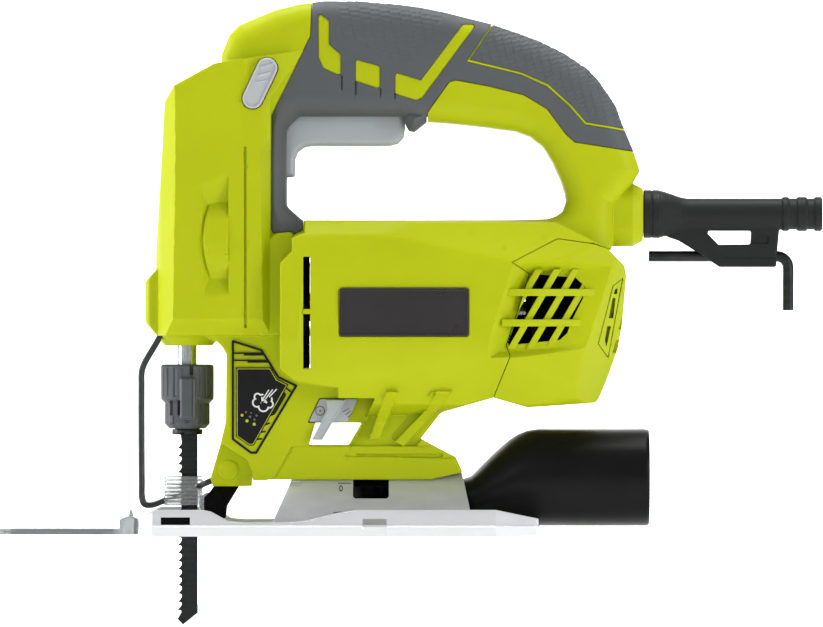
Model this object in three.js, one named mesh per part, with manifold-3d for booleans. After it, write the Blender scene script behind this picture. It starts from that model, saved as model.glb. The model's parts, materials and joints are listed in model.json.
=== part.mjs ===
// A mains-powered D-handle jigsaw. Millimetres, +Z up, +X towards the cord, -Y the tool's left side.
// The origin is on the sole of the shoe, on the centre plane, midway along the shoe.
import * as THREE from "three";
import { mergeVertices } from "three/addons/utils/BufferGeometryUtils.js";
import Module from "manifold-3d";

const wasm = await Module();
wasm.setup();

// ---------------------------------------------------------------- driving dimensions
const WALL = 2.5; // thickness of the moulded housing
const GAP = 0.3; // clearance between pieces that touch
const GRIP_SKIN = 2.0; // thickness of the soft grip moulded over the handle
const HANDLE_HALF_WIDTH = 18.5;
const HEAD_HALF_WIDTH = 28;
const FAR = 60; // past the side of the tool, for cutting tools

const PLUNGER_X = -59.5; // axis of the plunger, the blade holder and the blade
const PLUNGER_RADIUS = 3.75;
const CRANK_RADIUS = 9.5; // half the stroke of the blade
const PLUNGER_ABOVE_MID = 3; // how far above mid-stroke the plunger stands

const MOTOR_Z = 87; // height of the motor shaft
const PINION_TEETH = 9;
const GEAR_TEETH = 54;
const GEAR_Z = 115; // height of the drive gear's centre
const GEAR_MODULE = (2 * (GEAR_Z - MOTOR_Z)) / (PINION_TEETH + GEAR_TEETH);
const PRESSURE_ANGLE = THREE.MathUtils.degToRad(25);
const ADDENDUM = 0.8 * GEAR_MODULE;
const DEDENDUM = 1.05 * GEAR_MODULE;
const BACKLASH = 0.14;
const GEAR_X = [-50.2, -44.8]; // front and back of the gear's rim

const SHOE_X = [-77.6, 77.6];
const SHOE_HALF_WIDTH = 37.5;
const SHOE_PLATE = 2.6; // thickness of the shoe's plate
const SHOE_RIM = 2.2; // thickness of its upright rims
const BLADE_NOTCH = { halfWidth: 14, back: -36 }; // the open notch round the blade
const ARCH_RADIUS = 25.5; // outside of the bevel bracket, about the tilt axis
const ARCH_WALL = 1.8;
const BEVEL_SCREW_X = 11.5;

const FORK_PIVOT = { x: -43.3, z: 25.2 };
const ROLLER = { x: -50.6, z: 12, radius: 4.5, halfWidth: 2.6 };
const TRIGGER_PIVOT = { x: -24, z: 141.5 };
const CORD_Z = 125; // axis of the cord guard
const DUST = { z: 22.3, radius: 18.9, wall: 1.7, back: 120.5 };
const WIRE_RADIUS = 1.15;

// ---------------------------------------------------------------- outlines
// Side outlines are [x, z]. Half sections are [half width, z], half plans are [x, half width].
const HEAD_SIDE = [
  [-70, 73.7], [-75.7, 82.9], [-75.7, 98.7], [-71.6, 110], [-69, 149.6], [-68, 168.3], [-64.1, 174.7],
  [-48.4, 183.5], [-42.9, 194.4], [-39, 198.3], [-25, 204.2], [-11, 206.9], [-11.3, 194], [-26.5, 163.2],
  [-26.8, 117], [-14, 117], [-14, 73.7],
];
const HEAD_PLAN = [[-76.5, 13], [-69.5, 16], [-63.5, HEAD_HALF_WIDTH], [-10, HEAD_HALF_WIDTH]];
const HEAD_SECTION = [[20, 73], [HEAD_HALF_WIDTH, 85], [HEAD_HALF_WIDTH, 178], [22, 192], [13, 208]];
const RECESS_SIDE = [[-54.7, 138.5], [-43.1, 143], [-43.1, 86.1], [-54.4, 89.3]];
const BARREL_SIDE = [
  [-24, 47.5], [-24, 122.5], [66, 122.5], [84, 121.5], [104.4, 111], [110.7, 104.7], [111.5, 100.8],
  [110, 82.1], [104, 60.3], [99.5, 51.5], [73, 49.7], [59.6, 53.5], [39.5, 47.5],
];
const BARREL_SECTION = [[12, 47], [20, 51], [30.5, 66], [33.5, 76], [33.5, 108], [30, 116], [22, 122.5]];
const BARREL_PLAN = [[-25, 33.5], [62, 33.5], [84, 31], [100, 26], [112, 15]];
const COVER_SIDE = [
  [82.8, 114.6], [66.9, 105.8], [73.7, 101.7], [64.4, 73.8], [66.1, 69.7], [59.8, 53.9], [59.6, 45],
  [115, 45], [115, 104.7], [104.4, 111], [95, 113],
];
const WEB_SIDE = [
  [-44, 78], [-44.3, 44.3], [-46.4, 35.5], [-50.3, 22.1], [-49.4, 19], [-33.8, 19], [-27.8, 21.5],
  [34.6, 21.5], [47.8, 24.5], [45.2, 30.2], [31.4, 37.9], [39.5, 47.7], [50, 58], [50, 78],
];
const WEB_SECTION = [[11, 19], [15.5, 21.5], [15.5, 38], [17.5, 50], [25, 76], [25, 79]];
const BOSS_HALF_WIDTH = 11; // the housing where the roller fork hangs
const HANDLE_SIDE = [
  [-40, 88], [-40, 197], [-25, 203.9], [-9, 207.4], [7.8, 207.7], [21.8, 206.5], [40.6, 203.4],
  [59.3, 198.7], [78, 192.1], [96.7, 181.2], [104.5, 171.8], [110.3, 157.7], [116.8, 141.5], [107, 128], [105, 88],
];
const OPENING_SIDE = [
  [-20.7, 122.5], [-20.7, 157], [-16.8, 161.5], [30, 161.2], [54.6, 158.9], [68.6, 157], [78, 152.3],
  [83, 145], [88.1, 129.7], [83, 122.5],
];
const GRIP_SIDE = [
  [-10.9, 212], [-11.3, 194], [-26.5, 163.2], [-26.8, 118.6], [-25.6, 117.3], [-18.8, 116.4],
  [-14.3, 118.6], [-14.3, 127], [-17, 130], [-17, 160], [24.7, 161], [26.7, 156], [34.1, 159], [34.1, 164.2],
  [42.6, 176.1], [45.1, 176.8], [71.4, 171.1], [80.4, 165.7], [87.9, 155.7], [91.3, 152.7], [118, 148.5],
  [118, 156], [95.3, 159.2], [89, 166.4], [80, 174.3], [70.2, 178.6], [48.8, 183.6], [59, 199.5], [64, 212],
];
const PAD_SIDE = [
  [60, 199.5], [50.2, 184.6], [70.6, 179.7], [80.8, 175], [89.8, 167], [95.7, 160.2], [118, 156.8],
  [118, 212], [66, 212],
];
const NECK_SIDE = [[100, 131], [106, 131], [114.4, 137.5], [118.1, 135.7], [118.1, 114.1], [114.1, 112.9], [100, 112.9]];

// ---------------------------------------------------------------- helpers
const vec = (x, y, z) => new THREE.Vector3(x, y, z);

function shapeOf(points) {
  return new THREE.Shape(points.map(([a, b]) => new THREE.Vector2(a, b)));
}

// The closed mesh of a geometry as a solid for joining and cutting.
function solid(geometry) {
  const plain = geometry.clone();
  plain.deleteAttribute("normal");
  plain.deleteAttribute("uv");
  const merged = mergeVertices(plain, 1e-4);
  const mesh = new wasm.Mesh({
    numProp: 3,
    vertProperties: merged.attributes.position.array,
    triVerts: new Uint32Array(merged.index.array),
  });
  return new wasm.Manifold(mesh);
}

function geometryOf(manifold) {
  const mesh = manifold.getMesh();
  const geometry = new THREE.BufferGeometry();
  geometry.setAttribute("position", new THREE.BufferAttribute(new Float32Array(mesh.vertProperties), 3));
  geometry.setIndex(new THREE.BufferAttribute(new Uint32Array(mesh.triVerts), 1));
  geometry.computeVertexNormals();
  return geometry;
}

const join = (...solids) => solids.reduce((all, next) => all.add(next));
const cut = (body, ...tools) => tools.reduce((left, tool) => left.subtract(tool), body);
const common = (...solids) => solids.reduce((all, next) => all.intersect(next));

// The largest separate piece, so that a cut leaves no crumbs behind.
function largest(manifold) {
  return manifold.decompose().sort((a, b) => b.volume() - a.volume())[0];
}

// An outline moved inwards by a distance, edge by edge (outwards where it is negative).
function inset(points, distance) {
  if (!distance) return points;
  const turn = Math.sign(THREE.ShapeUtils.area(points.map(([x, y]) => ({ x, y }))));
  const edges = points.map(([x, y], i) => {
    const [nx, ny] = points[(i + 1) % points.length];
    const length = Math.hypot(nx - x, ny - y);
    const inward = [(-turn * (ny - y)) / length, (turn * (nx - x)) / length];
    return { x: x + inward[0] * distance, y: y + inward[1] * distance, dx: nx - x, dy: ny - y };
  });
  return edges.map((b, i) => {
    const a = edges[(i + edges.length - 1) % edges.length];
    const cross = a.dx * b.dy - a.dy * b.dx;
    if (Math.abs(cross) < 1e-6) return [b.x, b.y];
    const t = ((b.x - a.x) * b.dy - (b.y - a.y) * b.dx) / cross;
    return [a.x + t * a.dx, a.y + t * a.dy];
  });
}

// Half a section or plan, mirrored about the centre plane.
const bothSides = (half) => [...half, ...half.map(([w, z]) => [-w, z]).reverse()];
const bothSidesPlan = (half) => [...half, ...half.map(([x, w]) => [x, -w]).reverse()];

// A prism of an outline seen from the side, between two planes across the tool.
function side(points, y0, y1, bevel = {}) {
  const depth = y1 - y0;
  const geometry = new THREE.ExtrudeGeometry(shapeOf(points), { depth, bevelEnabled: false, ...bevel });
  return solid(geometry.rotateX(Math.PI / 2).translate(0, y1, 0));
}

// A prism of a cross section, between two planes along the tool.
function section(points, x0, x1) {
  const geometry = new THREE.ExtrudeGeometry(shapeOf(points), { depth: x1 - x0, bevelEnabled: false });
  const along = new THREE.Matrix4().makeBasis(vec(0, 1, 0), vec(0, 0, 1), vec(1, 0, 0));
  return solid(geometry.applyMatrix4(along).translate(x0, 0, 0));
}

// A prism of a plan, between two heights.
function plan(points, z0, z1) {
  const geometry = new THREE.ExtrudeGeometry(shapeOf(points), { depth: z1 - z0, bevelEnabled: false });
  return solid(geometry.translate(0, 0, z0));
}

function box(x0, x1, y0, y1, z0, z1) {
  const geometry = new THREE.BoxGeometry(x1 - x0, y1 - y0, z1 - z0);
  return solid(geometry.translate((x0 + x1) / 2, (y0 + y1) / 2, (z0 + z1) / 2));
}

function rodX(radius, x0, x1, z, { y = 0, sides = 24 } = {}) {
  const geometry = new THREE.CylinderGeometry(radius, radius, x1 - x0, sides);
  return solid(geometry.rotateZ(Math.PI / 2).translate((x0 + x1) / 2, y, z));
}

function rodY(radius, y0, y1, x, z, sides = 20) {
  const geometry = new THREE.CylinderGeometry(radius, radius, y1 - y0, sides);
  return solid(geometry.translate(x, (y0 + y1) / 2, z));
}

function rodZ(radius, z0, z1, x = PLUNGER_X, { y = 0, sides = 24 } = {}) {
  const geometry = new THREE.CylinderGeometry(radius, radius, z1 - z0, sides);
  return solid(geometry.rotateX(Math.PI / 2).translate(x, y, (z0 + z1) / 2));
}

// A turned solid about an axis along X: the profile is [x, radius] and starts and ends on the axis.
function turnedX(profile, z, sides = 24) {
  const geometry = new THREE.LatheGeometry(profile.map(([x, r]) => new THREE.Vector2(r, x)), sides);
  const made = solid(geometry.rotateZ(-Math.PI / 2).translate(0, 0, z));
  return made.volume() < 0 ? solid(flipped(geometry)) : made;
}

// The same for a vertical axis: the profile is [radius, z].
function turnedZ(profile, x, sides = 28) {
  const geometry = new THREE.LatheGeometry(profile.map(([r, z]) => new THREE.Vector2(r, z)), sides);
  const made = solid(geometry.rotateX(Math.PI / 2).translate(x, 0, 0));
  return made.volume() < 0 ? solid(flipped(geometry)) : made;
}

function flipped(geometry) {
  const index = geometry.index.array;
  for (let i = 0; i < index.length; i += 3) [index[i + 1], index[i + 2]] = [index[i + 2], index[i + 1]];
  return geometry;
}

// A round bar along a smooth curve through points.
function bar(points, radius, steps, sides = 8) {
  const curve = new THREE.CatmullRomCurve3(points, false, "centripetal");
  const ring = new THREE.Shape().absarc(0, 0, radius, 0, 2 * Math.PI);
  const outline = new THREE.Shape(ring.getPoints(sides / 2).slice(0, -1));
  return solid(new THREE.ExtrudeGeometry(outline, { steps, extrudePath: curve, bevelEnabled: false }));
}

// A skin stretched over rings of points, each with the same number of points, and closed by its two end rings.
function loft(rings) {
  const count = rings[0].length;
  const position = rings.flat().flatMap((p) => [p.x, p.y, p.z]);
  const index = [];
  for (let r = 0; r + 1 < rings.length; r++)
    for (let i = 0; i < count; i++) {
      const a = r * count + i;
      const b = r * count + ((i + 1) % count);
      index.push(a, b, b + count, a, b + count, a + count);
    }
  const last = (rings.length - 1) * count;
  for (let i = 1; i + 1 < count; i++) {
    index.push(0, i + 1, i);
    index.push(last, last + i, last + i + 1);
  }
  const geometry = new THREE.BufferGeometry();
  geometry.setAttribute("position", new THREE.Float32BufferAttribute(position, 3));
  geometry.setIndex(index);
  const made = solid(geometry);
  return made.volume() < 0 ? solid(flipped(geometry)) : made;
}

// ---------------------------------------------------------------- housing forms
// Each form is the outside of one region of the moulding, or its inside when it is moved in by the wall.
function headForm(wall = 0) {
  const block = common(
    side(inset(HEAD_SIDE, wall), -FAR, FAR),
    plan(inset(bothSidesPlan(HEAD_PLAN), wall), 60, 220),
    section(inset(bothSides(HEAD_SECTION), wall), -90, 10),
  );
  const recess = side(inset(RECESS_SIDE, -wall), HEAD_HALF_WIDTH - 3 - wall, FAR);
  const gearBulge = rodX(27.9 - wall, -53 + wall, -43, GEAR_Z, { sides: 36 });
  return join(cut(block, recess, recess.mirror([0, 1, 0])), gearBulge);
}

function barrelForm(wall = 0) {
  return common(
    side(inset(BARREL_SIDE, wall), -FAR, FAR),
    plan(inset(bothSidesPlan(BARREL_PLAN), wall), 30, 130),
    section(inset(bothSides(BARREL_SECTION), wall), -30, 115),
  );
}

function webForm() {
  const web = common(side(WEB_SIDE, -FAR, FAR), section(bothSides(WEB_SECTION), -60, 60));
  const besideBoss = box(-60, -33, BOSS_HALF_WIDTH, FAR, 10, 33);
  const tunnel = rodX(ARCH_RADIUS + 0.4, -34, 60, 0, { sides: 64 });
  return cut(web, besideBoss, besideBoss.mirror([0, 1, 0]), tunnel);
}

// The D of the handle: a block with rounded edges and a flared opening, so that it fills the hand.
function handleForm(wall = 0) {
  const round = 7 - wall;
  const straight = 2 * (HANDLE_HALF_WIDTH - 7);
  const options = { depth: straight, bevelThickness: round, bevelSize: round, bevelSegments: 3 };
  const block = new THREE.ExtrudeGeometry(shapeOf(inset(HANDLE_SIDE, 7)), options);
  const flare = [[-20, 9], [-18.5, 6], [-16.5, 2.6], [-12.5, 0], [12.5, 0], [16.5, 2.6], [18.5, 6], [20, 9]];
  const opening = loft(flare.map(([y, grow]) => inset(OPENING_SIDE, -grow - wall).map(([x, z]) => vec(x, y, z))));
  return cut(solid(block.rotateX(Math.PI / 2).translate(0, straight / 2, 0)), opening);
}

const neckForm = (wall = 0) => {
  const profile = [[100, 0], [100, 11.5], [114, 12.3], [118.1, 11], [118.1, 0]];
  return wall
    ? rodX(8.2, 96, 117, CORD_Z)
    : turnedX(profile, CORD_Z, 24);
};

// ---------------------------------------------------------------- cutting tools for the housing
const SCREWS = [
  { x: -47, z: 170, head: 22 },
  { x: -38, z: 52, head: 14 },
  { x: 25, z: 31, head: 12 },
  { x: 62, z: 178, head: 13 },
  { x: 99, z: 141, head: 13 },
  { x: 50, z: 116.5, head: 22 },
];

const BUTTON_SIDE = [
  [-25.2, 186.2], [-23.2, 183.8], [-23.6, 181.4], [-29.9, 167.9], [-35.5, 165.5], [-37.9, 167.9], [-31.5, 183.8],
];
const LEVER_PLATE = [[-12.1, 44.1], [3, 44.1], [7, 53], [-7.6, 53]];
const LEVER_RECESS = [[-12.6, 43.7], [9.4, 43.7], [13.8, 53.4], [-8, 53.4]];
const LEVER_BAR = [[-10.9, 37], [-6.8, 37], [2.6, 52.8], [-5.1, 52.8]];
const WINDOW_SIDE = [[-12.1, 35], [3.4, 35], [8.4, 43.7], [-9.6, 43.7]];
const BLOWER_TRAVEL = 6;

const TRIGGER_SIDE = [
  [-26.4, 139], [-17.3, 139], [-17.2, 148], [-15.1, 150.2], [-10.1, 151.3], [21.7, 151.3], [25.2, 153.6],
  [25.2, 159.5], [22.5, 165.5], [-16, 165.5], [-22, 160], [-26.4, 146],
];
const TRIGGER_SLOT = [
  [-27.6, 137.6], [-15, 137.6], [-15, 140], [-14, 150], [26, 150], [26, 158], [25, 172], [-20, 172], [-27.6, 160],
];

const GUARD_LEG = [
  vec(-69.6, 0, 79.5), vec(-69.6, 3.4, 79.5), vec(-69.8, 5.7, 78.6), vec(-70.7, 6.2, 76.3), vec(-76.4, 6.2, 66.4),
  vec(-77.3, 6.2, 63.4), vec(-77.4, 6.2, 58), vec(-77.3, 6.2, 20), vec(-77.2, 6.2, 14.6), vec(-76.2, 5.9, 11.9),
  vec(-73.6, 5.2, 11.5), vec(-66.3, 3.4, 14.2), vec(-58.6, 3.3, 17.2), vec(-55, 4.6, 18.8), vec(-52, 7.4, 20.2),
  vec(-46.8, 8.6, 22.6),
];

function guardPath() {
  const mirrored = GUARD_LEG.slice(1).map((p) => vec(p.x, -p.y, p.z));
  return [...mirrored.reverse(), ...GUARD_LEG];
}

const forkPocket = () => {
  const outline = [[-54, 5], [-33.5, 5], [-33.5, 20], [-36.5, 27], [-38, 31.5], [-48.5, 31.5], [-54, 20]];
  return side(outline, -6.2, 6.2);
};

function screwHoles() {
  return SCREWS.map(({ x, z, head }) => join(rodY(1.9, head - 26, head + 1, x, z, 12), rodY(3.7, head, FAR, x, z, 16)));
}

function screwBosses(outside) {
  const posts = SCREWS.map(({ x, z }) => rodY(4.4, -FAR, FAR, x, z, 16));
  return common(join(...posts), outside);
}

function ventSlots() {
  const slot = (z0, z1) => box(-14, -11.3, -FAR, FAR, z0, z1);
  return [slot(87.9, 108.2), slot(64.7, 86)];
}

function wholeHousing() {
  const grey = join(
    side(inset(GRIP_SIDE, -0.15), -FAR, FAR),
    side(inset(PAD_SIDE, -0.15), -FAR, FAR),
  );
  const underSkin = handleForm(GRIP_SKIN + GAP);
  const outside = join(
    headForm(), barrelForm(), webForm(), neckForm(),
    cut(handleForm(), cut(grey, box(-200, 200, -FAR, FAR, 0, 110))),
    underSkin,
  );
  const inside = join(headForm(WALL), barrelForm(WALL), handleForm(GRIP_SKIN + GAP + WALL), neckForm(WALL));
  const opening = side(inset(OPENING_SIDE, 0.4), -FAR, FAR);
  const shell = join(cut(outside, inside), screwBosses(cut(outside, opening)));
  const buttonHole = side(inset(BUTTON_SIDE, -0.4), -FAR, -15);
  const leverRecess = side(LEVER_RECESS, -FAR, -13.2);
  const window = side(WINDOW_SIDE, -FAR, FAR);
  const triggerSlot = side(TRIGGER_SLOT, -8.3, 8.3);
  const plungerHole = rodZ(6, 60, 90);
  const guardHole = bar(guardPath(), WIRE_RADIUS + 0.4, 60);
  const forkPin = rodY(2.4, -9.6, 9.6, FORK_PIVOT.x, FORK_PIVOT.z, 16);
  const bevelScrew = rodZ(3.4, 20, 40, BEVEL_SCREW_X, { sides: 16 });
  const cover = side(inset(COVER_SIDE, -GAP), -FAR, FAR);
  const plates = badgePocket();
  return cut(
    shell, ...screwHoles(), ...ventSlots(), buttonHole, leverRecess, window, triggerSlot, plungerHole,
    guardHole, forkPocket(), forkPin, bevelScrew, cover, plates, pinHole(TRIGGER_PIVOT, 1.6, 11.2),
    rodX(4.5, 110, 125, CORD_Z),
  );
}

// ---------------------------------------------------------------- housing pieces
const BADGE = { x: [0, 50], z: [77.4, 96.1], y: 33.5, depth: 0.8 };

const pinHole = ({ x, z }, radius, half) => rodY(radius, -half, half, x, z, 16);

function badgePocket() {
  const { x, z, y, depth } = BADGE;
  const left = box(x[0] - 0.3, x[1] + 0.3, -FAR, -(y - depth - 0.3), z[0] - 0.3, z[1] + 0.3);
  return join(left, left.mirror([0, 1, 0]));
}

function badge(sign) {
  const { x, z, y, depth } = BADGE;
  const faces = [sign * (y - depth), sign * (y + 0.2)].sort((a, b) => a - b);
  return box(x[0], x[1], faces[0], faces[1], z[0], z[1]);
}

function rearCover() {
  const block = common(barrelForm(), side(COVER_SIDE, -FAR, FAR));
  const hollow = cut(block, barrelForm(WALL));
  const grilles = [];
  for (let row = 0; row < 3; row++)
    for (let column = 0; column < 3; column++) {
      const x = 69.5 + 6.6 * column + 3.6 * row;
      const z = 75.5 + 8.8 * row;
      grilles.push(side([[x, z], [x + 4.4, z], [x + 7.4, z + 6.6], [x + 3, z + 6.6]], -FAR, FAR));
    }
  const rearSlots = [71, 80, 89].map((z) => box(98, 120, -9, 9, z, z + 5));
  return largest(cut(hollow, ...grilles, ...rearSlots, rodX(10.4, 95, 130, CORD_Z)));
}

function handleSkin(outline) {
  const skin = cut(common(handleForm(), side(outline, -FAR, FAR)), handleForm(GRIP_SKIN));
  const clearOfHead = cut(skin, headForm(-GAP), barrelForm(-GAP), neckForm());
  const slot = side(TRIGGER_SLOT, -8.3, 8.3);
  return cut(clearOfHead, slot, pinHole(TRIGGER_PIVOT, 1.6, 11.2), box(-200, 200, -FAR, FAR, 0, 110));
}

// The two halves meet on the centre plane.
function leftHalf(whole) {
  return largest(common(whole, box(-200, 200, -FAR, -GAP / 2, -100, 300)));
}

function rightHalf(whole) {
  return largest(common(whole, box(-200, 200, GAP / 2, FAR, -100, 300)));
}

// ---------------------------------------------------------------- drive train
function involute(teeth, module) {
  const pitch = (module * teeth) / 2;
  const base = pitch * Math.cos(PRESSURE_ANGLE);
  const root = pitch - DEDENDUM;
  const tip = pitch + ADDENDUM;
  const inv = (angle) => Math.tan(angle) - angle;
  const atPitch = Math.PI / (2 * teeth) - BACKLASH / (4 * pitch) + inv(PRESSURE_ANGLE);
  const halfAngle = (r) => atPitch - inv(Math.acos(Math.min(1, base / r)));
  const start = Math.max(base, root);
  const radii = [start, (start + tip) / 2, tip];
  const flank = radii.map((r) => [r, halfAngle(r)]);
  return root < start ? [[root, halfAngle(start)], ...flank] : flank;
}

// A spur gear on an axis along X, with one tooth centred on the given angle in the YZ plane.
function gear(teeth, x0, x1, z, toothAngle) {
  const flank = involute(teeth, GEAR_MODULE);
  const points = [];
  for (let tooth = 0; tooth < teeth; tooth++) {
    const middle = toothAngle + (2 * Math.PI * tooth) / teeth;
    for (const [r, a] of flank) points.push([r * Math.cos(middle - a), r * Math.sin(middle - a)]);
    for (const [r, a] of [...flank].reverse()) points.push([r * Math.cos(middle + a), r * Math.sin(middle + a)]);
  }
  return section(points.map(([a, b]) => [a, b + z]), x0, x1);
}

function motorShaft() {
  const pinion = gear(PINION_TEETH, -50.8, -43, MOTOR_Z, Math.PI / 2);
  const shaft = turnedX([[-43.2, 0], [-43.2, 2.9], [-42, 3.9], [83, 3.9], [84, 3], [84, 0]], MOTOR_Z, 20);
  return join(pinion, shaft);
}

function armatureCore() {
  const slots = [];
  for (let i = 0; i < 12; i++) {
    const geometry = new THREE.BoxGeometry(60, 1.8, 5);
    geometry.translate(14, 0, 16).rotateX((i * Math.PI) / 6).translate(0, 0, MOTOR_Z);
    slots.push(solid(geometry));
  }
  return cut(rodX(17, -6, 34, MOTOR_Z, { sides: 36 }), ...slots, rodX(4.2, -20, 50, MOTOR_Z));
}

function windingEnd(x0, x1) {
  const ring = turnedX([[x0, 0], [x0, 11], [x0 + 1.5, 14.5], [x1 - 1, 15], [x1, 13], [x1, 0]], MOTOR_Z, 20);
  return cut(ring, rodX(4.2, -20, 50, MOTOR_Z));
}

function commutator() {
  const grooves = [];
  for (let i = 0; i < 12; i++) {
    const geometry = new THREE.BoxGeometry(13, 0.6, 2);
    geometry.translate(49.5, 0, 11).rotateX((i * Math.PI) / 6).translate(0, 0, MOTOR_Z);
    grooves.push(solid(geometry));
  }
  return cut(rodX(11, 42, 56, MOTOR_Z, { sides: 24 }), ...grooves, rodX(4.2, 40, 60, MOTOR_Z));
}

function coolingFan() {
  const blades = [];
  for (let i = 0; i < 9; i++) {
    const geometry = new THREE.BoxGeometry(8, 1.2, 15.4);
    geometry.rotateX(0.35).translate(-15.8, 0, 15.3).rotateX((i * 2 * Math.PI) / 9).translate(0, 0, MOTOR_Z);
    blades.push(solid(geometry));
  }
  const disc = rodX(23.5, -21.2, -19.4, MOTOR_Z, { sides: 30 });
  const hub = rodX(18, -21.2, -12.2, MOTOR_Z, { sides: 30 });
  return cut(join(disc, hub, ...blades), rodX(4.2, -30, 0, MOTOR_Z));
}

function bearing(outer, inner, x0, x1, z) {
  return cut(rodX(outer, x0, x1, z), rodX(inner, x0 - 1, x1 + 1, z));
}

// A sector of a ring about the motor shaft, between two angles in the YZ plane.
function sector(inner, outer, from, to, x0, x1) {
  const steps = 6;
  const arc = (radius, a, b) =>
    Array.from({ length: steps + 1 }, (_, i) => {
      const angle = THREE.MathUtils.degToRad(a + ((b - a) * i) / steps);
      return [radius * Math.cos(angle), MOTOR_Z + radius * Math.sin(angle)];
    });
  return section([...arc(outer, from, to), ...arc(inner, to, from)], x0, x1);
}

function stator() {
  const ring = cut(rodX(27, -4, 32, MOTOR_Z, { sides: 36 }), rodX(17.6, -10, 40, MOTOR_Z, { sides: 36 }));
  const slots = [40, 114, 220, 294].map((a) => sector(17, 24.3, a, a + 26, -10, 40));
  return cut(ring, ...slots);
}

function fieldCoil(from) {
  const loop = sector(18.4, 24, from, from + 98, -10.5, 38.5);
  return cut(loop, sector(17, 26, from + 24, from + 74, -4.4, 32.4));
}

function driveGear() {
  const wheel = gear(GEAR_TEETH, GEAR_X[0], GEAR_X[1], GEAR_Z, -Math.PI / 2 + Math.PI / GEAR_TEETH);
  const hub = rodX(8, GEAR_X[0], -42, GEAR_Z);
  const holes = [];
  for (let i = 0; i < 5; i++) {
    const angle = (i * 2 * Math.PI) / 5 + 1.2;
    holes.push(rodX(3.2, -60, -30, GEAR_Z + 15.5 * Math.sin(angle), { y: 15.5 * Math.cos(angle), sides: 14 }));
  }
  const pinAngle = Math.asin(PLUNGER_ABOVE_MID / CRANK_RADIUS);
  const y = CRANK_RADIUS * Math.cos(pinAngle);
  const pinHole = rodX(2.8, -60, -47, GEAR_Z + PLUNGER_ABOVE_MID, { y, sides: 16 });
  return cut(join(wheel, hub), ...holes, rodX(4.1, -60, -30, GEAR_Z), pinHole);
}

function crankPin() {
  const y = CRANK_RADIUS * Math.cos(Math.asin(PLUNGER_ABOVE_MID / CRANK_RADIUS));
  return rodX(2.5, -53.2, -47.3, GEAR_Z + PLUNGER_ABOVE_MID, { y, sides: 16 });
}

function gearShaft() {
  return rodX(3.8, -51.5, -35, GEAR_Z);
}

// The die-cast frame that carries the gear shaft, the front motor bearing and the two plunger bushes.
function gearFrame() {
  const outline = bothSides([[14, 76.6], [21, 84], [21, 140], [14, 157.5]]);
  const bulkhead = section(outline, -41.6, -34.5);
  const lowerArm = box(-66, -36, -8, 8, 76.6, 81.4);
  const upperArm = box(-66, -36, -8, 8, 150, 157.5);
  return cut(
    join(bulkhead, lowerArm, upperArm),
    rodX(10.8, -39.5, -30, MOTOR_Z, { sides: 28 }), rodX(6, -50, -30, MOTOR_Z),
    rodX(4.1, -50, -35.5, GEAR_Z), rodZ(5.4, 70, 165), rodZ(5, 90, 140, -38, { sides: 12 }),
  );
}

function plungerBush(z0, z1) {
  return cut(rodZ(5.2, z0, z1), rodZ(PLUNGER_RADIUS + 0.06, z0 - 1, z1 + 1));
}

function plungerRod() {
  return rodZ(PLUNGER_RADIUS, 58.3, 163);
}

function scotchYoke() {
  const z = GEAR_Z + PLUNGER_ABOVE_MID;
  const plate = box(-56.9, -53.6, -15, 15, z - 6.5, z + 6.5);
  const collar = rodZ(6.4, z - 6.5, z + 6.5);
  const slot = box(-60, -53, -12.6, 12.6, z - 3.2, z + 3.2);
  const behindRod = box(-66, -56.2, -13, 13, z - 3.3, z + 3.3);
  return cut(join(collar, plate), cut(slot, behindRod), rodZ(PLUNGER_RADIUS + 0.15, 90, 140));
}

function yokeSlider() {
  const y = CRANK_RADIUS * Math.cos(Math.asin(PLUNGER_ABOVE_MID / CRANK_RADIUS));
  const z = GEAR_Z + PLUNGER_ABOVE_MID;
  return box(-55.9, -53.7, y - 3.3, y + 3.3, z - 2.9, z + 2.9);
}

// ---------------------------------------------------------------- blade end
function clampCore() {
  const body = turnedZ([[0, 39], [5.6, 39], [6, 39.4], [6, 41.1], [4.9, 41.1], [4.9, 66], [0, 66]], PLUNGER_X);
  const bladeSlot = box(PLUNGER_X - 4.3, PLUNGER_X + 4.3, -1, 1, 30, 57.2);
  return cut(body, rodZ(PLUNGER_RADIUS + GAP, 58, 70), bladeSlot);
}

function clampCollar() {
  const profile = [[0, 41.4], [7.2, 41.4], [8.8, 43.2], [8.8, 51.3], [10.35, 52.8], [10.35, 65.6], [9.8, 66.4], [0, 66.4]];
  const lever = box(PLUNGER_X - 2.4, PLUNGER_X + 3.4, -11.9, -7, 45, 61.3);
  const windows = [-6.6, -3.6].map((x) => box(PLUNGER_X + x, PLUNGER_X + x + 1.1, -12, -5, 46.5, 52.4));
  return cut(join(turnedZ(profile, PLUNGER_X), lever), rodZ(5.25, 30, 80), ...windows);
}

const BLADE = { back: -55.5, root: -62.1, tip: -63.3, top: 38.6, end: -35.1, pitch: 3.15, half: 0.6 };

// A toothed T-shank blade: the back edge is straight and each tooth is a raked triangle.
function blade() {
  const { back, root, tip, top, end, pitch, half } = BLADE;
  const outline = [[back, end + 4.6], [back, top], [-56.2, top + 1], [-56.2, 50.5], [-55.4, 50.8], [-55.4, 53.4]];
  outline.push([-57.4, 54.8], [-57.4, 56.8], [-61.6, 56.8], [-61.6, 54.8], [-63.6, 53.4], [-63.6, 50.8]);
  outline.push([-62.8, 50.5], [-62.8, top + 1], [root, top]);
  const teeth = Math.floor((top - 3 - end - 2) / pitch);
  for (let i = 0; i < teeth; i++) {
    const z = top - 3 - i * pitch;
    outline.push([root, z], [tip, z - 0.75 * pitch], [root, z - pitch + 0.35]);
  }
  outline.push([tip, end + 2.2], [-61.2, end]);
  return side(outline, -half, half);
}

function wireGuard() {
  return bar(guardPath(), WIRE_RADIUS, 60);
}

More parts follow.
